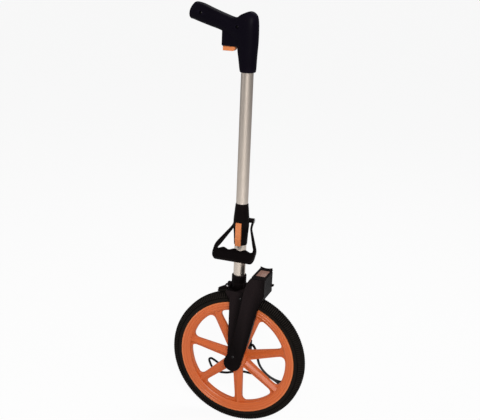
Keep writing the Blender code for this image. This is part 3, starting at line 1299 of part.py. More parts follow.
# ================================================================ kickstand
def stand_route():
    drop = STAND_PIVOT_Z - STAND_WIRE
    points = [(x * STAND_WIDTH, STAND_PIVOT_Y + y * STAND_REACH, STAND_PIVOT_Z - z * drop)
              for x, y, z in STAND_SHARES]
    return smooth(points, 2, cyclic=True)


def kickstand():
    return wire("kickstand", stand_route(), STAND_WIRE, "dark_steel", cyclic=True)


def stand_bracket():
    """A boss bolted to the far leg, with a recess for the axle's nut and a bore for the stand."""
    low_y, high_y = LEG_OUTSIDE + GAP, LEG_OUTSIDE + BRACKET_DEPTH
    bracket = block("stand_bracket", (-BRACKET_HALF, low_y, STAND_PIVOT_Z - BRACKET_DROP),
                    (BRACKET_HALF, high_y, STAND_PIVOT_Z + BRACKET_RISE), "black_plastic")
    soften(bracket, BRACKET_EDGE)
    recess = rod("nut_recess", AXLE_RADIUS + GAP + BUSH_WALL + BUSH_FLANGE + PLAY, low_y - OVERRUN,
                 LEG_OUTSIDE + FLANGE_THICKNESS + NUT_HEIGHT + GAP * 6, "Y", AXLE)
    bore = rod("stand_bore", STAND_WIRE + GAP, -BRACKET_HALF - OVERRUN, BRACKET_HALF + OVERRUN, "X",
               (0, STAND_PIVOT_Y, STAND_PIVOT_Z))
    cut(bracket, recess, bore)
    for number, place in enumerate(bracket_screw_places()):
        cut(bracket, rod(f"bracket_bore_{number}", SCREW_RADIUS + GAP, low_y - OVERRUN, high_y + OVERRUN,
                         "Y", place, steps=BORE_STEPS))
    return bracket


def bracket_screws():
    for name, place in zip(("bracket_screw_left", "bracket_screw_right"), bracket_screw_places()):
        screw_piece(name, place, LEG_INSIDE + LEG_EDGE, LEG_OUTSIDE + BRACKET_DEPTH + GAP, 1)


# ================================================================ assembly
def build():
    rim, rubber, shaft, nut = wheel_rim(), tyre(), axle(), axle_nut()
    lower = pulley("drive_pulley", AXLE, AXLE_RADIUS + GAP)
    hang(pivot("wheel_axis", AXLE), rim, rubber, shaft, nut, lower)

    fork()
    fork_screws()
    axle_bushes()
    drive_plate()
    drive_cover()
    cover_screw()
    drive_belt()

    counter_body()
    counter_bezel()
    counter_window()
    counter_screws()
    transfer_gears()
    upper = pulley("upper_pulley", UPPER_AXIS, SHAFT_RADIUS + GAP)
    drums = [drum(number) for number in range(DRUM_COUNT)]
    hang(pivot("counter_axis", UPPER_AXIS), upper, drum_shaft(), *drums)
    hang(pivot("reset_axis", RESET_PIVOT), reset_lever())

    tube("lower_tube", CROWN_BOTTOM + TUBE_FLOOR + GAP, LOWER_TUBE_TOP)
    hinge_lower()
    hinge_pin()
    sliding = latch()
    hang(pivot("latch_axis", Vector((POLE_X, -LATCH_BACK, LATCH_BOTTOM))), sliding)
    hang(pivot("handle_axis", FOLD_PIN), carry_handle())

    pole_axis = pivot("pole_axis", FOLD_PIN)
    hang(pole_axis, hinge_upper(), tube("upper_tube", UPPER_TUBE_BOTTOM, UPPER_TUBE_TOP),
         grip_shell("grip_near", NEAR), grip_shell("grip_far", FAR), *grip_screws(), trigger_spring())
    hang(pivot("trigger_axis", SPRING_PLACE + Vector((0, 0, TRIGGER_TOP))), trigger())

    brake_axis = pivot("brake_axis", Vector((BRAKE_PIVOT_X, 0, BRAKE_PIVOT_Z)))
    hang(brake_axis, brake_arm(), brake_pad())
    brake_pin()

    hang(pivot("stand_axis", Vector((0, STAND_PIVOT_Y, STAND_PIVOT_Z))), kickstand())
    stand_bracket()
    bracket_screws()
    bpy.context.view_layer.update()


build()
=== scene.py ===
# %% [markdown]
# # A measuring wheel, from its working frame to its finished look
# The frame holds every solid of the wheel at its real size and place, with its joints. This
# lesson gives each of them its finish, and models again the ones whose surface has more to
# show than the solid holds: tread, grip, ribs, wire, numbers and screws.

# %% Load the frame
import json
from math import asin, atan2, copysign, cos, hypot, pi, radians, sin, tau

import bmesh
import bpy
from mathutils import Matrix, Vector


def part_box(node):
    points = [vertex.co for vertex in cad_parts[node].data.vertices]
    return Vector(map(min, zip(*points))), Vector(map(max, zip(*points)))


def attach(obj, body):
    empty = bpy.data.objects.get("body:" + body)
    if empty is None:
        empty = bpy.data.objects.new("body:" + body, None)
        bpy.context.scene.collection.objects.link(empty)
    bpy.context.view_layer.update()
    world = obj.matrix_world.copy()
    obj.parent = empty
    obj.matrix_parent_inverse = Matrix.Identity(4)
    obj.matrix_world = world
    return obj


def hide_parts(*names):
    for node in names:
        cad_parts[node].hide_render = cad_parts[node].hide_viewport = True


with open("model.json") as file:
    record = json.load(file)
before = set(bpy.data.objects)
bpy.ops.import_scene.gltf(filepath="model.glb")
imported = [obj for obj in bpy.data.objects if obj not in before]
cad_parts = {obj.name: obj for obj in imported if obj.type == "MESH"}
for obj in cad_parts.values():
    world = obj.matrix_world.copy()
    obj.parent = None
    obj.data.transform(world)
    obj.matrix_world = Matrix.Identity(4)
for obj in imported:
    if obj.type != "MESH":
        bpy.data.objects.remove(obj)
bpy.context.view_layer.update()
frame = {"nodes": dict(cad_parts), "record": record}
BEHAVIOUR = frame["record"]["behaviour"]
BODY_OF = {node: body for body, nodes in BEHAVIOUR["bodies"].items() for node in nodes}
JOINT = {joint["name"]: joint for joint in BEHAVIOUR["joints"]}

# %% [markdown]
# ## Places that later steps share
# Axes come from the joints, so a new piece sits exactly where the moving solid does.

# %% Axes and radii
HUB = Vector(JOINT["wheel_spin"]["pos_m"])
COUNTER_AXIS = Vector(JOINT["counter_spin"]["pos_m"])
FOLD_PIN = Vector(JOINT["pole_fold"]["pos_m"])
STAND_PIVOT = Vector(JOINT["stand_swing"]["pos_m"])
POLE_X = FOLD_PIN.x
WHEEL_RADIUS = HUB.z
TYRE_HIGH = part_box("tyre")[1]
RIM_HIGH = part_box("wheel_rim")[1]
print("wheel radius", round(WHEEL_RADIUS, 5), "hub", tuple(round(v, 4) for v in HUB))

# %% [markdown]
# ## Camera
# The photograph looks a little down from the near right, with the camera tipped slightly
# clockwise. A long lens keeps the pole's edges almost parallel.

# %% Camera
CAMERA_AZIMUTH = radians(19.4)
CAMERA_ELEVATION = radians(17.6)
CAMERA_ROLL = radians(2.27)
CAMERA_DISTANCE = 1.7511
CAMERA_AIM = Vector((-0.0093, 0.0, 0.5117))
LENS, SENSOR_WIDTH = 60, 36      # millimetres


def add_camera():
    """Step back from the aim by azimuth and elevation, then roll about the line of sight."""
    back = Vector((sin(CAMERA_AZIMUTH) * cos(CAMERA_ELEVATION),
                   -cos(CAMERA_AZIMUTH) * cos(CAMERA_ELEVATION), sin(CAMERA_ELEVATION)))
    level = Vector((cos(CAMERA_AZIMUTH), sin(CAMERA_AZIMUTH), 0))
    upright = back.cross(level)
    right = level * cos(CAMERA_ROLL) + upright * sin(CAMERA_ROLL)
    up = upright * cos(CAMERA_ROLL) - level * sin(CAMERA_ROLL)
    camera = bpy.data.objects.new("camera", bpy.data.cameras.new("camera"))
    bpy.context.scene.collection.objects.link(camera)
    turn = Matrix((right, up, back)).transposed().to_4x4()
    camera.matrix_world = Matrix.Translation(CAMERA_AIM + back * CAMERA_DISTANCE) @ turn
    camera.data.lens = LENS
    camera.data.sensor_width = SENSOR_WIDTH
    bpy.context.scene.camera = camera
    return camera


print("camera at", tuple(round(v, 3) for v in add_camera().location))

# %% [markdown]
# ## Working by hand in code
# Each new piece starts as a primitive or a profile and is shaped in edit mode. An operator acts on
# whatever is selected, so a piece is opened alone, and faces are then picked by place or normal.

# %% Edit mode helpers


def deselect_all():
    if bpy.context.object and bpy.context.object.mode != "OBJECT":
        bpy.ops.object.mode_set(mode="OBJECT")
    bpy.ops.object.select_all(action="DESELECT")


def work_on(piece):
    """Make one piece the only selected and active one."""
    deselect_all()
    piece.select_set(True)
    bpy.context.view_layer.objects.active = piece


def open_edit(piece, kind="FACE", start="DESELECT"):
    work_on(piece)
    bpy.ops.object.mode_set(mode="EDIT")
    bpy.ops.mesh.select_mode(type=kind)
    bpy.ops.mesh.select_all(action=start)


def close_edit():
    bpy.ops.object.mode_set(mode="OBJECT")


def pick(piece, test, kind="faces"):
    """Select the faces, edges or vertices of the open mesh that pass a test, and count them."""
    bm = bmesh.from_edit_mesh(piece.data)
    found = 0
    for item in getattr(bm, kind):
        wanted = bool(test(item))
        item.select_set(wanted)
        found += wanted
    bm.select_flush_mode()
    bmesh.update_edit_mesh(piece.data)
    return found


def apply_modifier(piece, kind, **settings):
    work_on(piece)
    modifier = piece.modifiers.new(kind.lower(), kind)
    for name, value in settings.items():
        setattr(modifier, name, value)
    bpy.ops.object.modifier_apply(modifier=modifier.name)
    return piece


def tidy_mesh(piece, merge=0.000002, dissolve=None):
    """Merge doubles, turn faces outwards and, where asked, dissolve flat triangles."""
    open_edit(piece, "VERT", "SELECT")
    bpy.ops.mesh.remove_doubles(threshold=merge)
    if dissolve is not None:
        bpy.ops.mesh.dissolve_limited(angle_limit=radians(dissolve))
    bpy.ops.mesh.select_all(action="SELECT")
    bpy.ops.mesh.normals_make_consistent(inside=False)
    close_edit()
    return piece


def bake_place(piece):
    """Put the object's place into its mesh, so its own coordinates are the frame's."""
    work_on(piece)
    bpy.ops.object.transform_apply(location=True, rotation=True, scale=True)
    return piece


def smooth_shade(piece, angle=30):
    work_on(piece)
    bpy.ops.object.shade_smooth_by_angle(angle=radians(angle))
    return piece


def link_object(name, data):
    piece = bpy.data.objects.new(name, data)
    bpy.context.scene.collection.objects.link(piece)
    return piece


def discard(piece):
    bpy.data.objects.remove(piece, do_unlink=True)


def report(piece):
    """Print a finished piece's name, how many faces it has and how big it is."""
    print(piece.name, len(piece.data.polygons), "faces", [round(v, 4) for v in piece.dimensions])


def seat(piece, finish, *nodes, body=None, slot=None):
    """Give a finished piece its material, its body and the solids it stands for."""
    piece.data.materials.clear()
    piece.data.materials.append(finish)
    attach(piece, body or BODY_OF[nodes[0]])
    if nodes:
        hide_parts(*nodes)
    return piece


# %% [markdown]
# ## Shader sums in Python
# A mask is easier to read as a sum than as a web of boxes. The class below wraps one socket, so that
# `1 - mask` or `noise * 0.2 + 0.4` each add their Math node. Every other node comes from one method.

# %% Shader helpers


class Signal:
    """The number that a socket gives, for use in Python sums."""

    def __init__(self, finish, socket):
        self.finish, self.socket = finish, socket

    def apply(self, operation, *others):
        values = dict(enumerate((self, *others)))
        return self.finish.node("ShaderNodeMath", values, {"operation": operation})

    def __add__(self, other):
        return self.apply("ADD", other)

    def __mul__(self, other):
        return self.apply("MULTIPLY", other)

    def __rsub__(self, other):
        return self.apply("MULTIPLY", -1.0).apply("ADD", other)

    def above(self, low, high):
        """0 up to low, 1 from high on."""
        return self.finish.node("ShaderNodeMapRange", {"Value": self, "From Min": low, "From Max": high},
                                {"clamp": True})


class Finish:
    """A material with one Principled shader, whose even values are set on its sockets."""

    def __init__(self, name, **fixed):
        self.material = bpy.data.materials.new(name)
        self.material.use_nodes = True
        self.nodes = self.material.node_tree.nodes
        self.links = self.material.node_tree.links
        self.shader = self.nodes["Principled BSDF"]
        for socket, value in fixed.items():
            self.shader.inputs[socket.replace("_", " ")].default_value = value
        self.coordinates = self.node("ShaderNodeTexCoord", out="Object")

    def node(self, kind, inputs=None, settings=None, out=0):
        """Add a node with its settings and its inputs, and give one of its outputs."""
        made = self.nodes.new(kind)
        for name, value in (settings or {}).items():
            setattr(made, name, value)
        for name, value in (inputs or {}).items():
            self.feed_socket(made.inputs[name], value)
        return Signal(self, made.outputs[out])

    def feed_socket(self, socket, value):
        if isinstance(value, Signal):
            self.links.new(value.socket, socket)
        else:
            socket.default_value = value

    def noise(self, scale, detail, squeeze=(1, 1, 1)):
        placed = self.node("ShaderNodeMapping", {"Vector": self.coordinates, "Scale": squeeze})
        return self.node("ShaderNodeTexNoise",
                         {"Vector": placed, "Scale": scale, "Detail": detail, "Roughness": 0.55})

    def cells(self, scale):
        return self.node("ShaderNodeTexVoronoi", {"Vector": self.coordinates, "Scale": scale})

    def mix(self, mask, first, second):
        """One colour where the mask is 0, another where it is 1. The numbers are the node's sockets."""
        colours = [value if isinstance(value, Signal) else (*value, 1.0) for value in (first, second)]
        return self.node("ShaderNodeMix", {0: mask, 6: colours[0], 7: colours[1]}, {"data_type": "RGBA"}, 2)

    def edges(self, low=0.51, high=0.60):
        """1 along worn outer edges."""
        return self.node("ShaderNodeNewGeometry", out="Pointiness").above(low, high)

    def bump(self, height, strength, distance=0.0002):
        return self.node("ShaderNodeBump", {"Height": height, "Strength": strength, "Distance": distance})

    def done(self, **sockets):
        for name, value in sockets.items():
            self.feed_socket(self.shader.inputs[name.replace("_", " ")], value)
        return self.material


# %% [markdown]
# ## Finishes
# Nearly everything here is moulded plastic, and what tells the mouldings apart is gloss and grain: the
# orange parts are smooth and bright, the housings have a spark-eroded grain, and the grip is finer and
# silkier. Each finish also gets a little unevenness in colour and gloss and lighter, rubbed edges.

# %% Plastics


def orange_finish(name, bright, deep):
    dust, worn = (0.42, 0.12, 0.05), (0.78, 0.26, 0.09)
    finish = Finish(name, Specular_IOR_Level=0.35, Coat_Weight=0.08, Coat_Roughness=0.25)
    cloud = finish.noise(14, 4)
    fine = finish.noise(220, 2)
    speck = finish.cells(420).above(0.02, 0.10)
    body = finish.mix(cloud, bright, deep)
    dusty = finish.mix((1 - speck) * 0.25, body, dust)
    rubbed = finish.mix(finish.edges() * 0.35, dusty, worn)
    rough = cloud * 0.16 + fine * 0.10 + 0.26
    return finish.done(Base_Color=rubbed, Roughness=rough, Normal=finish.bump(fine, 0.12))


def black_finish(name, dark, pale, grain, grain_strength, rough_low):
    """Grain is how many pits fit in a metre, and rough_low is the roughness of the shiniest spots."""
    finish = Finish(name, Specular_IOR_Level=0.025)
    cloud = finish.noise(22, 4)
    pits = finish.cells(grain)
    fine = finish.noise(grain * 1.7, 2)
    body = finish.mix(cloud, dark, pale)
    rubbed = finish.mix(finish.edges() * 0.5, body, tuple(channel * 6 for channel in pale))
    rough = cloud * 0.14 + fine * 0.10 + rough_low
    height = pits * 0.7 + fine * 0.3
    return finish.done(Base_Color=rubbed, Roughness=rough, Normal=finish.bump(height, grain_strength))


def white_finish(name, colour):
    finish = Finish(name, IOR=1.5)
    cloud = finish.noise(60, 3)
    body = finish.mix(cloud, colour, tuple(channel * 0.86 for channel in colour))
    return finish.done(Base_Color=body, Roughness=cloud * 0.15 + 0.30, Normal=finish.bump(cloud, 0.05))


ORANGE = orange_finish("moulded_orange", (0.600, 0.125, 0.026), (0.510, 0.096, 0.020))
# The trigger and latch are a paler orange plastic, made brighter still as painted light for the strong
# frontal light that falls on them.
PALE_LIT_ORANGE = orange_finish("pale_orange", (0.680, 0.225, 0.078), (0.560, 0.170, 0.054))
HOUSING = black_finish("grained_black", (0.0021, 0.0014, 0.0015), (0.0036, 0.0025, 0.0027),
                       grain=900, grain_strength=0.22, rough_low=0.32)
GRIP = black_finish("silky_black", (0.0026, 0.0020, 0.0042), (0.0044, 0.0034, 0.0070),
                    grain=1500, grain_strength=0.12, rough_low=0.30)
DRUM_WHITE = white_finish("drum_white", (0.80, 0.79, 0.76))
DRUM_RED = white_finish("drum_red", (0.60, 0.05, 0.04))
INK = black_finish("number_black", (0.010, 0.010, 0.010), (0.020, 0.020, 0.020),
                   grain=2000, grain_strength=0.02, rough_low=0.4)
print("plastics", [m.name for m in (ORANGE, PALE_LIT_ORANGE, HOUSING, GRIP, DRUM_WHITE, DRUM_RED, INK)])

# %% [markdown]
# Rubber is never quite black: the tread is scuffed grey where it has rolled, and dust lies on it in patches.
# The pole is drawn aluminium, so its scratches run along it.

# %% Rubber, metals and the clear window


def rubber_finish(name, scuffed):
    finish = Finish(name, Specular_IOR_Level=0.015)
    cloud = finish.noise(30, 5)
    fine = finish.noise(700, 3)
    body = finish.mix(cloud, (0.0015, 0.0012, 0.0011), (0.0030, 0.0025, 0.0022))
    dusty = finish.mix((cloud * fine).above(0.20, 0.42) * scuffed, body, (0.0060, 0.0050, 0.0044))
    worn = finish.mix(finish.edges(0.505, 0.56) * scuffed, dusty, (0.026, 0.022, 0.019))
    return finish.done(Base_Color=worn, Roughness=cloud * 0.18 + 0.48, Normal=finish.bump(fine, 0.25))


def metal_finish(name, bright, dull, along, rough_low):
    """Along squeezes the streaks' pattern on each axis, which draws them out where it is small."""
    finish = Finish(name, Metallic=1.0)
    streaks = finish.noise(260, 4, along)
    cloud = finish.noise(25, 3)
    body = finish.mix(cloud * 0.6 + streaks * 0.4, bright, dull)
    return finish.done(Base_Color=body, Roughness=streaks * 0.14 + cloud * 0.08 + rough_low,
                       Normal=finish.bump(streaks, 0.08, 0.00005))


def wire_finish():
    finish = Finish("black_enamel", Specular_IOR_Level=0.12, Coat_Weight=0.12, Coat_Roughness=0.10)
    cloud = finish.noise(90, 4)
    chips = finish.noise(420, 2).above(0.70, 0.74)
    body = finish.mix(cloud, (0.0024, 0.0022, 0.0024), (0.0050, 0.0046, 0.0050))
    chipped = finish.mix(chips * 0.5, body, (0.06, 0.055, 0.05))
    return finish.done(Base_Color=chipped, Roughness=cloud * 0.15 + 0.18, Normal=finish.bump(cloud, 0.10))


def window_finish():
    finish = Finish("clear_window", IOR=1.49, Coat_Weight=0.3, Coat_Roughness=0.05)
    smear = finish.noise(120, 4)
    body = finish.mix(smear, (0.56, 0.31, 0.24), (0.46, 0.24, 0.18))
    return finish.done(Base_Color=body, Roughness=smear * 0.08 + 0.04, Alpha=smear * 0.12 + 0.40)


TYRE_RUBBER = rubber_finish("tyre_rubber", 0.7)
SOFT_RUBBER = rubber_finish("plain_rubber", 0.3)
DRAWN, PLAIN = (1, 1, 0.02), (1, 1, 1)
POLE_METAL = metal_finish("drawn_aluminium", (0.80, 0.71, 0.63), (0.68, 0.59, 0.51), DRAWN, 0.25)
BRIGHT_STEEL = metal_finish("bright_steel", (0.62, 0.62, 0.63), (0.45, 0.45, 0.46), PLAIN, 0.22)
BLACK_STEEL = metal_finish("blacked_steel", (0.055, 0.052, 0.054), (0.030, 0.028, 0.030), PLAIN, 0.30)
ENAMEL = wire_finish()
CLEAR = window_finish()
print("others", [m.name for m in (TYRE_RUBBER, SOFT_RUBBER, POLE_METAL, BRIGHT_STEEL, BLACK_STEEL,
                                  ENAMEL, CLEAR)])

# %% [markdown]
# ## Dress the solids
# Every solid gets its finish first. Those that are modelled again further on are hidden by their new
# piece, and the rest, mostly inside the casings, are complete with this.

# %% Finish for each solid
FINISH_OF = {
    "orange_plastic": ORANGE, "black_plastic": HOUSING, "grip_plastic": GRIP, "tyre_rubber": TYRE_RUBBER,
    "black_rubber": SOFT_RUBBER, "silver_tube": POLE_METAL, "steel": BRIGHT_STEEL, "dark_steel": BLACK_STEEL,
    "white_plastic": DRUM_WHITE, "window_plastic": CLEAR,
}
for part in frame["record"]["subparts"]:
    solid = frame["nodes"][part["node"]]
    if not solid.material_slots:
        solid.data.materials.append(None)
    for material_slot in solid.material_slots:
        material_slot.material = FINISH_OF[part["material_slot"]]

# %% [markdown]
# ## Starting shapes
# A box, a rod, a ring turned from its section and a flat outline with thickness start nearly every
# piece here. The outline is a curve, because a curve rounds its own edges as it is thickened.

# %% Boxes, rods, rings and outlines


def add_box(name, low, high):
    deselect_all()
    bpy.ops.mesh.primitive_cube_add(size=1, location=(Vector(low) + Vector(high)) / 2)
    piece = bpy.context.object
    piece.name = name
    piece.scale = Vector(high) - Vector(low)
    return bake_place(piece)


def add_rod(name, radius, start, end, sides=48):
    start, end = Vector(start), Vector(end)
    deselect_all()
    bpy.ops.mesh.primitive_cylinder_add(vertices=sides, radius=radius, depth=(end - start).length,
                                        location=(start + end) / 2,
                                        rotation=(end - start).to_track_quat("Z", "Y").to_euler())
    piece = bpy.context.object
    piece.name = name
    return bake_place(piece)


TURN_MERGE = 0.000005
HEIGHT_ALONG = {"Y": Matrix.Rotation(-pi / 2, 4, "X"), "Z": Matrix.Identity(4)}


def add_turned(name, section, steps, axis, centre):
    """A closed section of (radius, height) points turned once round an axis, Y or Z."""
    mesh = bpy.data.meshes.new(name)
    mesh.from_pydata([(radius, 0, height) for radius, height in section],
                     [(i, (i + 1) % len(section)) for i in range(len(section))], [])
    piece = link_object(name, mesh)
    apply_modifier(piece, "SCREW", steps=steps, render_steps=steps, use_merge_vertices=True,
                   merge_threshold=TURN_MERGE)
    piece.matrix_world = Matrix.Translation(centre) @ HEIGHT_ALONG[axis]
    bake_place(piece)
    return tidy_mesh(piece, TURN_MERGE)


def mirrored(upper):
    """A section's upper half followed by its mirror image below."""
    return upper + [(radius, -height) for radius, height in reversed(upper)]


def add_spline(curve, points):
    """A closed run of straight stretches through the points, three numbers each."""
    spline = curve.splines.new("POLY")
    spline.points.add(len(points) - 1)
    spline.use_cyclic_u = True
    for point, place in zip(spline.points, points):
        point.co = (*place, 1)


def curve_to_mesh(name, curve):
    work_on(link_object(name, curve))
    bpy.ops.object.convert(target="MESH")
    return bpy.context.object


def add_outline(name, loops, thickness, edge, place, rounding):
    """Flat outlines, the later ones being holes, with thickness and rounded edges."""
    curve = bpy.data.curves.new(name, "CURVE")
    curve.dimensions = "2D"
    curve.fill_mode = "BOTH"
    curve.extrude = thickness / 2 - edge
    curve.bevel_depth = edge
    curve.bevel_resolution = rounding
    curve.offset = -edge
    for loop in loops:
        add_spline(curve, [(*point, 0) for point in loop])
    piece = curve_to_mesh(name, curve)
    piece.matrix_world = place
    bake_place(piece)
    return tidy_mesh(piece)


UPRIGHT = Matrix.Rotation(pi / 2, 4, "X")      # drawn height becomes Z


def add_cutter(name, corners):
    """An outline in X and Z that goes right through the fork and what it holds."""
    return add_outline(name, [corners], thickness=0.080, edge=0.0001, place=UPRIGHT, rounding=0)


def arc_points(centre, radius, start, end, count):
    angles = [start + (end - start) * i / (count - 1) for i in range(count)]
    return [(centre[0] + radius * cos(a), centre[1] + radius * sin(a)) for a in angles]


def rounded(corners, radii, count):
    """A polygon whose corners are rounded in count steps, each by its own radius or not at all."""
    made = []
    for i, (corner, radius) in enumerate(zip(corners, radii)):
        here = Vector(corner)
        if not radius:
            made.append(tuple(here))
            continue
        before = Vector(corners[i - 1]) - here
        after = Vector(corners[(i + 1) % len(corners)]) - here
        reach = min(radius, before.length * 0.95, after.length * 0.95)
        start, end = here + before.normalized() * reach, here + after.normalized() * reach
        for step in range(count + 1):
            t = step / count
            made.append(tuple(start * (1 - t) ** 2 + here * 2 * t * (1 - t) + end * t ** 2))
    return made


def solve(piece, operation, *tools):
    """Cut with, or join, closed tools and delete them."""
    for tool in tools:
        apply_modifier(piece, "BOOLEAN", operation=operation, object=tool, solver="MANIFOLD")
        discard(tool)
    return piece


# %% [markdown]
# ## Mouldings
# The casing, counter and hinge sleeves have the right shape already, but a moulding never has a knife
# edge. A copy of the solid is merged, its flat triangles are dissolved, and every real edge is rounded
# by a few tenths of a millimetre, which is what catches the light.

# %% Soft-edged copies of the solids


def solid_copy(node):
    """A merged copy of a solid, with its flat triangles dissolved into whole faces."""
    piece = link_object(node + "_moulding", frame["nodes"][node].data.copy())
    piece.data.materials.clear()
    return tidy_mesh(piece, dissolve=0.6)


def soft_edges(piece, edge):
    """Round the sharp edges, and let the big faces keep their normals so that they shade flat."""
    apply_modifier(piece, "BEVEL", width=edge, segments=2, limit_method="ANGLE",
                   angle_limit=radians(34), use_clamp_overlap=True)
    smooth_shade(tidy_mesh(piece), 32)
    return apply_modifier(piece, "WEIGHTED_NORMAL", keep_sharp=True, weight=80)


MOULDINGS = {
    "drive_cover": 0.0012, "drive_plate": 0.0003, "counter_body": 0.0005, "hinge_lower": 0.0004,
    "hinge_upper": 0.0004, "stand_bracket": 0.0006, "reset_lever": 0.0004, "latch": 0.0004,
}
for node, edge in MOULDINGS.items():
    # The latch takes the pale orange, part of whose brightness is painted light.
    finish = PALE_LIT_ORANGE if node == "latch" else HOUSING
    report(seat(soft_edges(solid_copy(node), edge), finish, node))

# %% [markdown]
# The trigger moves up over its spring, so its top gets a well a little deeper than it travels. The well
# is a rod cut out of the copy before its edges are rounded.

# %% Trigger with its spring's well
TRIGGER_LOW, TRIGGER_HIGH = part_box("trigger")
TRIGGER_TRAVEL = JOINT["trigger_slide"]["range_m"][1]
SPRING_ROOM = 0.0003


def add_trigger():
    low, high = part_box("trigger_spring")
    middle = (low + high) / 2
    foot = Vector((middle.x, middle.y, TRIGGER_HIGH.z - TRIGGER_TRAVEL - SPRING_ROOM))
    above = foot + Vector((0, 0, TRIGGER_TRAVEL * 2))
    well = add_rod("well", (high.x - low.x) / 2 + SPRING_ROOM, foot, above)
    trigger = solve(solid_copy("trigger"), "DIFFERENCE", well)
    # The trigger takes the pale orange, part of whose brightness is painted light.
    return seat(soft_edges(trigger, 0.0005), PALE_LIT_ORANGE, "trigger")


report(add_trigger())

# %% [markdown]
# ## Fork
# The two halves of the fork carry the pole's collar. The crown between the legs is a low shoulder, so the
# top of each copy is cut down round the collar and slopes off behind it. The cutting tools are holed
# first, so that the collar stays, and so do the ears that hold the brake's pin.

# %% Fork halves
SHOULDER, EAR_TOP, CROWN_TOP = 0.3310, 0.3368, 0.3460
EAR_REACH = 0.0118
COLLAR_RADIUS = 0.0166
SLAB = ((-0.0216, -0.034, SHOULDER), (0.0345, 0.034, CROWN_TOP))
EARS = ((-0.0410, -EAR_REACH, 0.3200), (-0.0200, EAR_REACH, EAR_TOP))
SLOPE = [(-0.0214, SHOULDER), (-0.0280, 0.3262), (-0.0400, 0.3262), (-0.0400, CROWN_TOP),
         (-0.0214, CROWN_TOP)]


def add_fork_half(node):
    past = 0.004      # a tool reaches past the surface that it cuts, so no faces coincide
    slab = add_box("slab", *SLAB)
    solve(slab, "DIFFERENCE", add_rod("collar", COLLAR_RADIUS, (POLE_X, 0, SHOULDER - past),
                                      (POLE_X, 0, CROWN_TOP + past)))
    slope = add_cutter("slope", SLOPE)
    solve(slope, "DIFFERENCE", add_box("ears", *EARS))
    half = solve(solid_copy(node), "DIFFERENCE", slab, slope)
    return seat(soft_edges(half, 0.0007), HOUSING, node)


for node in ("fork_near", "fork_far"):
    report(add_fork_half(node))

# %% [markdown]
# ## Brake
# Arm and pad taper towards their tip, so that the arm lies close over the tyre. Both are copies with
# the tip cut on a slant, and with well rounded edges.

# %% Brake arm and pad
BRAKE_CUTS = {
    "brake_arm": (HOUSING, [(-0.0360, 0.3298), (-0.0535, 0.3206), (-0.0550, 0.3100), (-0.0700, 0.3100),
                            (-0.0700, 0.3450), (-0.0360, 0.3450)]),
    "brake_pad": (SOFT_RUBBER, [(-0.0530, 0.3300), (-0.0515, 0.3100), (-0.0700, 0.3100),
                                (-0.0700, 0.3300)]),
}
for node, (finish, tip) in BRAKE_CUTS.items():
    piece = solve(solid_copy(node), "DIFFERENCE", add_cutter("tip", tip))
    report(seat(soft_edges(piece, 0.0008), finish, node))

# %% [markdown]
# ## Wheel
# The wheel is one moulding: a hoop with concentric steps, a thin web with seven rounded windows, and
# seven ridged spokes. Each is modelled alone, and all are joined into one skin at the end. One spoke
# starts as a six-sided rod, turned so that two of its corners face out along the axle: they are the ridge
# on either side, and their edges are rounded.

# %% Wheel moulding
SPOKES = 7
SPOKE_PHASE = radians(16)
SPOKE_HALF = 0.0080
RIDGE_HALF = 0.00975
HUB_RADIUS = 0.0235
WINDOW_RADIUS = 0.1152
WINDOW_CORNER = 0.0170
WINDOW_TIP, TIP_CORNER = 0.0270, 0.0085
WEB_RADIUS, WEB_THICK = 0.1220, 0.0088
HOOP_STEPS = 168
HOOP_RADIUS = RIM_HIGH.x - 0.0002
HOOP_SECTION = mirrored([
    (0.1168, 0.0088), (0.1182, 0.0101), (0.1206, 0.0108), (0.1212, 0.0112), (0.1236, 0.0115),
    (0.1242, 0.0111), (0.1262, 0.0113), (0.1270, 0.0119), (0.1304, 0.0121), (0.1310, 0.0117),
    (0.1322, 0.0118), (0.1330, 0.0125), (HOOP_RADIUS, 0.0125), (HOOP_RADIUS, 0.0056), (0.1340, 0.0054),
])
HUB_SECTION = mirrored([
    (0.0045, 0.0200), (0.0095, 0.0200), (0.0105, 0.0190), (0.0108, 0.0174), (0.0195, 0.0170),
    (0.0220, 0.0160), (0.0232, 0.0140), (0.0245, 0.0080),
])


def window_loop(angle):
    """One window between two spokes, with big outer corners and a smaller inner one."""
    spread = pi / SPOKES - asin(SPOKE_HALF / WINDOW_RADIUS)
    cut = WINDOW_CORNER / WINDOW_RADIUS
    rim = arc_points((0, 0), WINDOW_RADIUS, angle - spread + cut, angle + spread - cut, 17)
    corners = [(radius * cos(angle + turn), radius * sin(angle + turn))
               for radius, turn in ((WINDOW_RADIUS, spread), (WINDOW_TIP, 0), (WINDOW_RADIUS, -spread))]
    return rounded(rim + corners, [0] * len(rim) + [WINDOW_CORNER, TIP_CORNER, WINDOW_CORNER], 8)


def add_spoke():
    """The first spoke, pointing along X, before it is copied round."""
    start, end = HUB_RADIUS - 0.006, WEB_RADIUS - 0.0005
    about_axis = {"center_override": (0, 0, 0)}
    spoke = add_rod("spoke", 1, (start, 0, 0), (end, 0, 0), sides=6)
    open_edit(spoke, "VERT", "SELECT")
    bpy.ops.transform.rotate(value=pi / 2, orient_axis="X", **about_axis)
    bpy.ops.transform.resize(value=(1, RIDGE_HALF, SPOKE_HALF / cos(pi / 6)), **about_axis)
    pick(spoke, lambda v: abs(v.co.z) > SPOKE_HALF / 2, "verts")      # flanks slope off from the ridge
    bpy.ops.transform.resize(value=(1, 0.78, 1), **about_axis)
    pick(spoke, lambda v: v.co.x > start + 0.01, "verts")             # wider at the hoop
    bpy.ops.transform.resize(value=(1, 0.98, 1.12), **about_axis)
    close_edit()
    open_edit(spoke, "EDGE")
    pick(spoke, lambda e: all(abs(v.co.z) < 0.001 for v in e.verts)
         and (e.verts[0].co - e.verts[1].co).length > 0.05, "edges")
    bpy.ops.mesh.bevel(offset=0.0012, segments=3)
    close_edit()
    return spoke


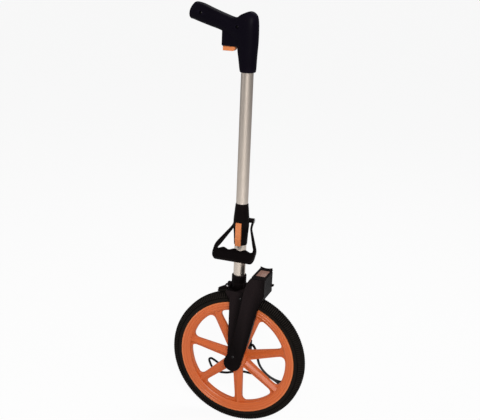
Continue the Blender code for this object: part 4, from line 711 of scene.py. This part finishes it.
def add_wheel():
    wheel = add_turned("wheel_moulding", HOOP_SECTION, HOOP_STEPS, "Y", HUB)
    first = add_spoke()
    angles = [SPOKE_PHASE + tau * i / SPOKES for i in range(SPOKES)]
    outer = arc_points((0, 0), WEB_RADIUS, 0, tau, HOOP_STEPS + 1)[:-1]
    windows = [window_loop(angle + pi / SPOKES) for angle in angles]
    web = add_outline("web", [outer] + windows, WEB_THICK, edge=0.0010,
                      place=Matrix.Translation(HUB) @ UPRIGHT, rounding=1)
    spokes = []
    for i, angle in enumerate(angles):
        spoke = link_object(f"spoke_{i}", first.data.copy())
        spoke.matrix_world = Matrix.Translation(HUB) @ Matrix.Rotation(-angle, 4, "Y")
        spokes.append(bake_place(spoke))
    discard(first)
    hub = add_turned("hub", HUB_SECTION, 64, "Y", HUB)
    solve(wheel, "UNION", web, *spokes, hub)
    return seat(smooth_shade(wheel, 28), ORANGE, "wheel_rim")


report(add_wheel())

# %% [markdown]
# ## Tyre
# A solid rubber band with fine ribs across its tread and a little way down its sides. It is a ring
# turned from its section, and every second strip of the tread is inset and lifted, which leaves a groove
# between the ribs. A shallow line in the side marks where the ribs end.

# %% Tyre
TREAD_RIBS = 204
RIB_LIFT = 0.0007
RIB_REACH = 0.0112      # from the tread down the side


def add_tyre():
    half = TYRE_HIGH.y - 0.0002
    seat_radius = HOOP_RADIUS + 0.0004
    crown = WHEEL_RADIUS - RIB_LIFT
    corner = 0.0062
    side = half - RIB_LIFT
    shoulder = arc_points((crown - corner, side - corner), corner, pi / 2, 0, 7)
    foot = crown - RIB_REACH
    upper = [(seat_radius, 0.0048), (seat_radius, side - 0.0018), (seat_radius + 0.0010, side - 0.0005),
             (seat_radius + 0.0024, side), (foot - 0.0016, side), (foot - 0.0011, side - 0.0004),
             (foot - 0.0005, side - 0.0004), (foot, side)] + shoulder
    tyre = add_turned("tyre_band", mirrored(upper), TREAD_RIBS * 2, "Y", HUB)

    def on_rib(face):
        middle = face.calc_center_median() - HUB
        turn = atan2(middle.z, middle.x) / tau * TREAD_RIBS
        radius = hypot(middle.x, middle.z)
        return turn % 1.0 < 0.5 and radius > foot + 0.0002

    open_edit(tyre)
    count = pick(tyre, on_rib)
    bpy.ops.mesh.inset(thickness=0.0003, depth=RIB_LIFT, use_even_offset=True)
    close_edit()
    seat(smooth_shade(tyre), TYRE_RUBBER, "tyre")
    return count


print("tread faces lifted", add_tyre())

# %% [markdown]
# ## Pole
# Two drawn tubes. Each is a ring turned from a thin section with broken edges, the way a cut-off tube
# is deburred.

# %% Tubes


def add_tube(node):
    low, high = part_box(node)
    radius, wall, burr = (high.x - low.x) / 2, 0.0015, 0.0003
    section = [(radius - wall, high.z), (radius - burr, high.z), (radius, high.z - burr),
               (radius, low.z + burr), (radius - burr, low.z), (radius - wall, low.z)]
    tube = add_turned(node + "_drawn", section, 96, "Z", (POLE_X, 0, 0))
    return seat(smooth_shade(tube), POLE_METAL, node)


for node in ("lower_tube", "upper_tube"):
    report(add_tube(node))

# %% [markdown]
# ## Grip
# The grip is one long soft form: an arm that leans back, a dome over the pole and a stem that closes
# round it. A ring of points is extruded from section to section, each set by its outer edge, inner
# edge and width. The two moulded shells are then the two sides of a bisected body, so the parting line
# is real.

# %% Grip sections and body
GRIP_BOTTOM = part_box("grip_near")[0].z
GRIP_RISE = 0.1435
GRIP_REACH = 0.1284
GRIP_HALF = 0.0188
GRIP_SIDES = 48
BOXINESS = 0.86      # 1 is an oval, and less is nearer a rounded box
# From the arm's end to the stem's foot: outer edge, inner edge and width, as shares of the sizes above.
GRIP_SHARES = (
    ((-1.004, 0.842), (-1.014, 0.764), 0.30),
    ((-1.000, 0.854), (-1.014, 0.748), 0.46),
    ((-0.984, 0.880), (-1.004, 0.724), 0.66),
    ((-0.948, 0.926), (-0.984, 0.708), 0.80),
    ((-0.900, 0.954), (-0.950, 0.702), 0.86),
    ((-0.780, 0.936), (-0.850, 0.673), 0.87),
    ((-0.600, 0.875), (-0.660, 0.622), 0.87),
    ((-0.400, 0.812), (-0.470, 0.573), 0.88),
    ((-0.221, 0.767), (-0.330, 0.505), 0.90),
    ((-0.132, 0.812), (-0.245, 0.445), 0.93),
    ((0.016, 0.861), (-0.190, 0.385), 0.97),
    ((0.112, 0.828), (-0.178, 0.325), 1.00),
    ((0.152, 0.730), (-0.170, 0.265), 1.00),
    ((0.160, 0.474), (-0.153, 0.181), 0.99),
    ((0.146, 0.230), (-0.134, 0.070), 0.97),
    ((0.138, 0.040), (-0.122, 0.020), 0.95),
    ((0.128, 0.004), (-0.112, 0.004), 0.90),
)
SCREW_SHARES = ((-0.7905, 0.805), (-0.1612, 0.641))
NOTCH_SHARE = (-1.006, 0.822)


def grip_place(along, up):
    """A place in the grip's middle plane, from its shares of the reach and of the rise."""
    return Vector((POLE_X + along * GRIP_REACH, 0, GRIP_BOTTOM + up * GRIP_RISE))


def blended(rows, steps):
    """Rows of numbers with smooth ones added between them, by a cubic through four neighbours."""
    made = []
    last = len(rows) - 1
    for i in range(last):
        a, b, c, d = (rows[min(max(i + k, 0), last)] for k in (-1, 0, 1, 2))
        for step in range(steps):
            t = step / steps
            made.append([(2 * q + (r - p) * t + (2 * p - 5 * q + 4 * r - s) * t * t
                          + (3 * q - p - 3 * r + s) * t ** 3) / 2 for p, q, r, s in zip(a, b, c, d)])
    made.append(list(rows[last]))
    return made


def section_ring(row):
    """The points of one section, a rounded oval across the grip."""
    outer, inner, width = grip_place(*row[:2]), grip_place(*row[2:4]), row[4]
    middle, half = (outer + inner) / 2, (outer - inner) / 2
    ring = []
    for i in range(GRIP_SIDES):
        angle = tau * (i + 0.5) / GRIP_SIDES
        along, out = (copysign(abs(share) ** BOXINESS, share)
                      for share in (cos(angle), sin(angle)))
        ring.append(middle + half * along + Vector((0, width * GRIP_HALF * out, 0)))
    return ring


def add_grip_body():
    rows = blended([(*outer, *inner, width) for outer, inner, width in GRIP_SHARES], 4)
    deselect_all()
    bpy.ops.mesh.primitive_circle_add(vertices=GRIP_SIDES, radius=0.01, fill_type="NGON")
    body = bpy.context.object
    body.name = "grip_body"
    bpy.ops.object.mode_set(mode="EDIT")
    bpy.ops.mesh.select_all(action="SELECT")
    for number, row in enumerate(rows):
        if number:
            bpy.ops.mesh.extrude_region_move()
        bm = bmesh.from_edit_mesh(body.data)
        face = next(f for f in bm.faces if f.select and len(f.verts) == GRIP_SIDES)
        loop = sorted(face.verts, key=lambda v: v.index % GRIP_SIDES)
        for vert, place in zip(loop, section_ring(row)):
            vert.co = place
        bmesh.update_edit_mesh(body.data)
    close_edit()
    return tidy_mesh(body)


grip_body = add_grip_body()
report(grip_body)

# %% [markdown]
# The trigger's housing grows out of the angle under the arm. It is a box with well rounded edges, joined
# on, and then the pole's socket, the trigger's slot, a notch in the arm's end and the two screw wells
# are cut.

# %% Housing, sockets and the two shells
HOUSING_BOX = ((-0.0604, -0.0125, 0.8635), (-0.0200, 0.0125, 0.9030))
SOCKET_RADIUS, SOCKET_TOP = 0.0135, 0.8603
SLOT_BOTTOM, SLOT_ROOM = 0.8600, Vector((0.0006, 0.0006, 0))
NOTCH_RADIUS = 0.0013
WELL_RADIUS, WELL_FLOOR = 0.0036, 0.0118
PARTING_GAP = 0.0004


def add_cross_rod(name, radius, share, start, end, sides):
    """A rod along Y at a place that is given as a share of the grip."""
    place = grip_place(*share)
    return add_rod(name, radius, place + Vector((0, start, 0)), place + Vector((0, end, 0)), sides)


def add_grip_shells():
    housing = add_box("housing", *HOUSING_BOX)
    apply_modifier(housing, "BEVEL", width=0.0030, segments=4)
    solve(grip_body, "UNION", housing)
    socket = add_rod("socket", SOCKET_RADIUS, (POLE_X, 0, GRIP_BOTTOM - 0.004), (POLE_X, 0, SOCKET_TOP), 64)
    slot_top = TRIGGER_HIGH.z + TRIGGER_TRAVEL + 0.0010
    slot = add_box("trigger_slot", Vector((TRIGGER_LOW.x, TRIGGER_LOW.y, SLOT_BOTTOM)) - SLOT_ROOM,
                   Vector((TRIGGER_HIGH.x, TRIGGER_HIGH.y, slot_top)) + SLOT_ROOM)
    wells = [add_cross_rod("screw_well", WELL_RADIUS, share, -0.026, -WELL_FLOOR, 32)
             for share in SCREW_SHARES]
    notch = add_cross_rod("notch", NOTCH_RADIUS, NOTCH_SHARE, -0.03, 0.03, 16)
    solve(grip_body, "DIFFERENCE", socket, slot, notch, *wells)
    for node, side in (("grip_near", -1), ("grip_far", 1)):
        shell = link_object(node + "_shell", grip_body.data.copy())
        open_edit(shell, "FACE", "SELECT")
        bpy.ops.mesh.bisect(plane_co=(0, side * PARTING_GAP / 2, 0), plane_no=(0, side, 0), use_fill=True,
                            clear_inner=True)
        close_edit()
        report(seat(smooth_shade(tidy_mesh(shell), 38), GRIP, node))
    discard(grip_body)


add_grip_shells()

# %% [markdown]
# ## Carrying handle
# A flat loop, with four finger hollows along the inside of its bar. The arms are thinner than the bar
# and have fine grooves across them, and each ends in an eye on the hinge's pin. It is drawn flat as an
# outline, squeezed and cut there, and only then tilted into its place.

# %% Carrying handle
HANDLE_TILT = radians(46.9)
HANDLE_THICK = 0.0125
EYE_INSIDE, EYE_OUTSIDE = 0.0185, 0.0225
EYE_RADIUS, EYE_HOLE = 0.0056, 0.0026
HANDLE_DEPTH, HANDLE_HALF = 0.1041, 0.0478
BAR_INSIDE, BAR_HALF = 0.0784, 0.0372
FINGER_PITCH, FINGER_DEPTH = 0.0250, 0.0021
GROOVES, GROOVE_START, GROOVE_PITCH = 9, 0.0270, 0.0046
GROOVE_WIDTH, GROOVE_DEPTH = 0.0016, 0.0007


def handle_place():
    """Its drawing plane: first axis along X, second away from the pin."""
    across = Vector((1, 0, 0))
    away = Vector((0, -sin(HANDLE_TILT), -cos(HANDLE_TILT)))
    return Matrix.Translation(FOLD_PIN) @ Matrix((across, away, across.cross(away))).transposed().to_4x4()


def handle_loop():
    """Its outline: down the right arm, up the left one, then inside along the fingers and up again."""
    half, depth = HANDLE_HALF, HANDLE_DEPTH
    outer = rounded([(EYE_OUTSIDE, 0), (EYE_OUTSIDE, 0.0190), (half - 0.0022, 0.0660),
                     (half + 0.0001, 0.0740), (half + 0.0001, 0.0925), (half - 0.0035, depth),
                     (0.0300, depth)], (0, 0.006, 0.004, 0.0035, 0.005, 0.006, 0), 5)
    strip = [BAR_HALF * (2 * i / 48 - 1) for i in range(49)]
    fingers = [(x, BAR_INSIDE - FINGER_DEPTH * cos(tau * x / FINGER_PITCH)) for x in strip]
    inner = rounded([(0.0376, 0.0805), (0.0412, 0.0802), (0.0418, 0.0742), (0.0376, 0.0655),
                     (0.0192, 0.0215), (0.0188, 0)], (0, 0.0024, 0.003, 0.005, 0.008, 0), 5)
    left_inner = [(-x, v) for x, v in reversed(inner)]
    return outer + [(-x, v) for x, v in reversed(outer)] + left_inner + fingers + inner


def half_thickness(along):
    """Half of the arm's thickness, which grows from the eye to the bar."""
    return HANDLE_THICK / 2 * (0.634 + 0.366 * min(1, max(0, (along - 0.022) / 0.045)))


def add_handle():
    handle = add_outline("carrying_handle", [handle_loop()], HANDLE_THICK, edge=0.0017,
                         place=Matrix.Identity(4), rounding=3)
    open_edit(handle, "VERT")
    for limit, squeeze in ((0.050, 0.72), (0.022, 0.88)):
        pick(handle, lambda v: v.co.y < limit, "verts")
        bpy.ops.transform.resize(value=(1, 1, squeeze), center_override=(0, 0, 0))
    close_edit()
    grooves = []
    for along in (GROOVE_START + number * GROOVE_PITCH for number in range(GROOVES)):
        for reach in (-half_thickness(along), half_thickness(along)):
            grooves.append(add_box("groove", (-0.06, along, reach - GROOVE_DEPTH),
                                   (0.06, along + GROOVE_WIDTH, reach + GROOVE_DEPTH)))
    solve(handle, "DIFFERENCE", *grooves)
    handle.matrix_world = handle_place()
    bake_place(handle)
    for side in (-1, 1):
        inside, outside = (FOLD_PIN + Vector((side * x, 0, 0)) for x in (EYE_INSIDE, EYE_OUTSIDE))
        width = outside - inside
        solve(handle, "UNION", add_rod("eye", EYE_RADIUS, inside, outside))
        solve(handle, "DIFFERENCE", add_rod("eye_hole", EYE_HOLE, inside - width, outside + width, 32))
    return seat(smooth_shade(handle, 32), HOUSING, "carry_handle")


report(add_handle())

# %% [markdown]
# ## Stand
# The stand is one length of round wire, bent so that both of its feet lie on the ground. A smooth
# path with a round bevel gives it. The path's points are shares of the stand's width, of its reach behind
# the pivot and of the pivot's height over the ground.

# %% Wire stand
WIRE = 0.0030
STAND_WIDTH, STAND_REACH = 0.100, 0.151
BLEND_STEPS = 6
STAND_SHARES = (
    (0, 0, 0), (0.148, 0, 0), (0.175, 0, 0), (0.22, 0.02, 0.06), (0.262, 0.055, 0.19), (0.3, 0.13, 0.37),
    (0.36, 0.29, 0.56), (0.45, 0.48, 0.735), (0.56, 0.68, 0.88), (0.69, 0.85, 0.97), (0.82, 0.905, 1),
    (0.915, 0.88, 1), (0.94, 0.82, 1), (0.88, 0.765, 1), (0.72, 0.77, 1), (0.53, 0.815, 1),
    (0.35, 0.905, 1), (0.09, 0.995, 1), (-0.14, 0.985, 1), (-0.33, 0.965, 1), (-0.54, 0.965, 1),
    (-0.75, 0.9, 1), (-0.92, 0.815, 1), (-1.12, 0.8, 1), (-1.34, 0.88, 1), (-1.5, 1.02, 1),
    (-1.6, 1.135, 1), (-1.59, 1.185, 1), (-1.52, 1.175, 1), (-1.32, 1.075, 0.99), (-1.17, 0.955, 0.965),
    (-0.97, 0.765, 0.84), (-0.765, 0.56, 0.65), (-0.55, 0.33, 0.425), (-0.37, 0.13, 0.22),
    (-0.27, 0.045, 0.08), (-0.18, 0, 0), (-0.148, 0, 0),
)


def add_stand():
    rows = list(STAND_SHARES)
    # Two more rows at each end let the blend run on round the loop. What they add is taken off again.
    looped = blended(rows[-2:] + rows + rows[:2], BLEND_STEPS)[2 * BLEND_STEPS:-BLEND_STEPS]
    drop = STAND_PIVOT.z - WIRE
    curve = bpy.data.curves.new("wire_stand", "CURVE")
    curve.dimensions = "3D"
    curve.bevel_depth = WIRE - 0.00002
    curve.bevel_resolution = 5
    add_spline(curve, [(x * STAND_WIDTH, STAND_PIVOT.y + y * STAND_REACH, STAND_PIVOT.z - min(z, 1) * drop)
                       for x, y, z in looped])
    stand = tidy_mesh(curve_to_mesh("wire_stand", curve))
    return seat(smooth_shade(stand, 60), ENAMEL, "kickstand")


report(add_stand())

# %% [markdown]
# ## Counter
# The bezel frames a clear window and has a raised lip at its far end. A box with a big rod cut out of
# its top gives the lip, whose two ends stay as small horns.

# %% Bezel and window
BEZEL_LOW, BEZEL_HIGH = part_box("counter_bezel")
HORN_RISE = 0.0030
DIP_RADIUS, DIP_FLOOR = 0.0360, 0.0006


def add_bezel():
    lip = add_box("lip", (BEZEL_LOW.x + 0.0012, BEZEL_HIGH.y - 0.0030, BEZEL_HIGH.z - 0.0010),
                  (BEZEL_HIGH.x - 0.0012, BEZEL_HIGH.y - 0.0004, BEZEL_HIGH.z + HORN_RISE))
    middle, height = (BEZEL_LOW.x + BEZEL_HIGH.x) / 2, BEZEL_HIGH.z + DIP_FLOOR + DIP_RADIUS
    solve(lip, "DIFFERENCE", add_rod("dip", DIP_RADIUS, (middle, BEZEL_HIGH.y - 0.01, height),
                                     (middle, BEZEL_HIGH.y + 0.01, height), 96))
    bezel = solve(solid_copy("counter_bezel"), "UNION", lip)
    return seat(soft_edges(bezel, 0.0003), HOUSING, "counter_bezel")


report(seat(soft_edges(solid_copy("counter_window"), 0.0003), CLEAR, "counter_window"))
report(add_bezel())

# %% [markdown]
# Under the window are five drums with numbers printed round them, the fastest one red. A drum is a turned
# ring. Each number is text turned into a mesh, once for all drums, and then wrapped on a drum like a
# transfer, because a flat number would lift off at its ends.

# %% Number drums
DRUM_RADIUS = (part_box("drum_1")[1].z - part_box("drum_1")[0].z) / 2
DRUM_BORE, DRUM_EDGE = 0.0023, 0.0004
TEXT_SIZE = 0.0042 * 1.42      # a digit is 4.2 mm high
INK_THICK = 0.00012


def add_digit(text):
    deselect_all()
    bpy.ops.object.text_add(location=(0, 0, 0))
    digit = bpy.context.object
    digit.data.body = text
    digit.data.size = TEXT_SIZE
    digit.data.align_x = "CENTER"
    digit.data.align_y = "CENTER"
    digit.data.resolution_u = 3
    bpy.ops.object.convert(target="MESH")
    return bpy.context.object


def wrap_digit(digit, turn, middle):
    """Lay a flat digit on the drum: its width along the shaft and its height round it."""
    places = []
    reach = DRUM_RADIUS - 0.00028
    for vert in digit.data.vertices:
        angle = turn - vert.co.y / DRUM_RADIUS
        places.append((COUNTER_AXIS.x + reach * sin(angle), middle + vert.co.x,
                       COUNTER_AXIS.z + reach * cos(angle)))
    return places


def add_drum(number, digits):
    node = f"drum_{number}"
    low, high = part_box(node)
    middle, half = (low.y + high.y) / 2, (high.y - low.y) / 2
    radius = DRUM_RADIUS - 0.0003
    section = mirrored([(DRUM_BORE, half), (radius - DRUM_EDGE, half), (radius, half - DRUM_EDGE)])
    drum = add_turned(node + "_wheel", section, 60, "Y", COUNTER_AXIS + Vector((0, middle, 0)))
    seat(smooth_shade(drum), DRUM_RED if number == 1 else DRUM_WHITE, node)
    verts, faces = [], []
    for value, digit in enumerate(digits):
        start = len(verts)
        verts += wrap_digit(digit, tau * value / 10, middle)
        faces += [[start + v for v in polygon.vertices] for polygon in digit.data.polygons]
    mesh = bpy.data.meshes.new(node + "_numbers")
    mesh.from_pydata(verts, [], faces)
    numbers = tidy_mesh(link_object(node + "_numbers", mesh), merge=0.0000001)
    apply_modifier(numbers, "SOLIDIFY", thickness=INK_THICK, offset=0)
    return seat(numbers, DRUM_WHITE if number == 1 else INK, body=BODY_OF[node],
                slot="white_plastic" if number == 1 else "black_plastic")


DIGITS = [add_digit(str(value)) for value in range(10)]
for number in range(1, 6):
    report(add_drum(number, DIGITS))
for digit in DIGITS:
    discard(digit)

# %% [markdown]
# ## Screws
# Small things that repeat are modelled once: a domed head with a cross recess, on a plain shank. Each
# copy is turned and moved to its place, with its own mesh.

# %% Screw heads
HEAD_SECTION = [(0.0001, 0.58), (0.35, 0.56), (0.70, 0.46), (0.93, 0.28), (1.0, 0.0), (0.5, 0.0),
                (0.5, -1.0), (0.0001, -1.0)]
RECESS = ((-0.55, -0.10, 0.22), (0.55, 0.10, 0.80))
RECESS_TURN = 0.4


def add_screw_model():
    """A unit screw: head radius 1, head top at height 0.58, facing up."""
    head = add_turned("screw_model", HEAD_SECTION, 40, "Z", (0, 0, 0))
    for turn in (RECESS_TURN, pi / 2 + RECESS_TURN):
        bar = add_box("recess", *RECESS)
        bar.matrix_world = Matrix.Rotation(turn, 4, "Z")
        solve(head, "DIFFERENCE", bake_place(bar))
    return soft_edges(head, 0.03)


SCREW_MODEL = add_screw_model()
SCREWS = {
    "fork_screw_near": "-Y", "fork_screw_far": "+Y", "cover_screw": "-Y", "grip_screw_arm": "-Y",
    "grip_screw_stem": "-Y", "bracket_screw_left": "+Y", "bracket_screw_right": "+Y",
    "counter_screw_back": "+Z", "counter_screw_front": "+Z",
}
FACING = {"-Y": Matrix.Rotation(pi / 2, 4, "X"), "+Y": Matrix.Rotation(-pi / 2, 4, "X"),
          "+Z": Matrix.Identity(4)}
for node, way in SCREWS.items():
    low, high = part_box(node)
    radius = (high.x - low.x) / 2 - 0.00005
    outward = FACING[way].to_3x3() @ Vector((0, 0, 1))
    face = (low + high) / 2 + outward * abs(outward.dot(high - low)) / 2
    screw = link_object(node + "_head", SCREW_MODEL.data.copy())
    screw.matrix_world = (Matrix.Translation(face - outward * radius * 0.6) @ FACING[way]
                          @ Matrix.Scale(radius, 4))
    seat(bake_place(screw), BLACK_STEEL, node)
discard(SCREW_MODEL)
print("screws", len(SCREWS))

# %% [markdown]
# ## Studio
# A pale floor under the wheel and three soft lamps: one from above the camera, whose reflection runs
# down the middle of the tubes, a weaker one from the left and a wide one from above and behind. The
# backdrop is white to the camera only, and the floor mostly, so that it keeps a faint shadow.

# %% Floor, world and lamps
FLOOR_GLOW = 0.92      # share of the floor that the camera sees as plain white
ROOM_COLOUR, ROOM_LIGHT = (0.85, 0.87, 0.90, 1), 0.22
AIM = (0, 0, 0.45)
LAMPS = {      # place, size, watts and tint
    "key": ((1.0, -2.4, 1.9), (0.8, 0.8), 66, (1.0, 0.98, 0.95)),
    "fill": ((-2.4, -1.2, 1.6), (1.2, 1.6), 14, (1, 1, 1)),
    "top": ((0.3, 1.2, 2.6), (1.6, 1.0), 26, (1, 1, 1)),
}


def show_white(tree, plain, white, share, output):
    """Mix white in for the camera alone, by a share, so that the light on things stays as it was."""
    nodes, links = tree.nodes, tree.links
    path, mix, bright = (nodes.new(kind) for kind in ("ShaderNodeLightPath", "ShaderNodeMixShader", white))
    bright.inputs["Color"].default_value = (1, 1, 1, 1)
    part = nodes.new("ShaderNodeMath")
    part.operation = "MULTIPLY"
    part.inputs[1].default_value = share
    links.new(path.outputs["Is Camera Ray"], part.inputs[0])
    links.new(part.outputs[0], mix.inputs[0])
    links.new(nodes[plain].outputs[0], mix.inputs[1])
    links.new(bright.outputs[0], mix.inputs[2])
    links.new(mix.outputs[0], nodes[output].inputs["Surface"])


def add_floor():
    bpy.ops.mesh.primitive_plane_add(size=80, location=(0, 0, -0.0004))
    floor = bpy.context.object
    floor.name = "floor"
    finish = Finish("pale_floor", Roughness=0.9, Specular_IOR_Level=0.1)
    tone = finish.mix(finish.noise(2, 2), (0.93, 0.93, 0.93), (0.90, 0.90, 0.90))
    floor.data.materials.append(finish.done(Base_Color=tone))
    show_white(finish.material.node_tree, "Principled BSDF", "ShaderNodeEmission", FLOOR_GLOW,
               "Material Output")


def add_world():
    world = bpy.data.worlds.new("studio")
    bpy.context.scene.world = world
    world.use_nodes = True
    room = world.node_tree.nodes["Background"]
    room.inputs["Color"].default_value = ROOM_COLOUR
    room.inputs["Strength"].default_value = ROOM_LIGHT
    show_white(world.node_tree, "Background", "ShaderNodeBackground", 1, "World Output")


def add_lamp(name, place, spread, power, tint):
    lamp = bpy.data.lights.new(name, "AREA")
    lamp.shape = "RECTANGLE"
    lamp.size, lamp.size_y = spread
    lamp.energy = power
    lamp.color = tint
    item = link_object(name, lamp)
    item.location = place
    item.rotation_euler = (Vector(place) - Vector(AIM)).to_track_quat("Z", "Y").to_euler()


add_floor()
add_world()
for name, settings in LAMPS.items():
    add_lamp(name, *settings)
bpy.context.scene.view_settings.view_transform = "Standard"
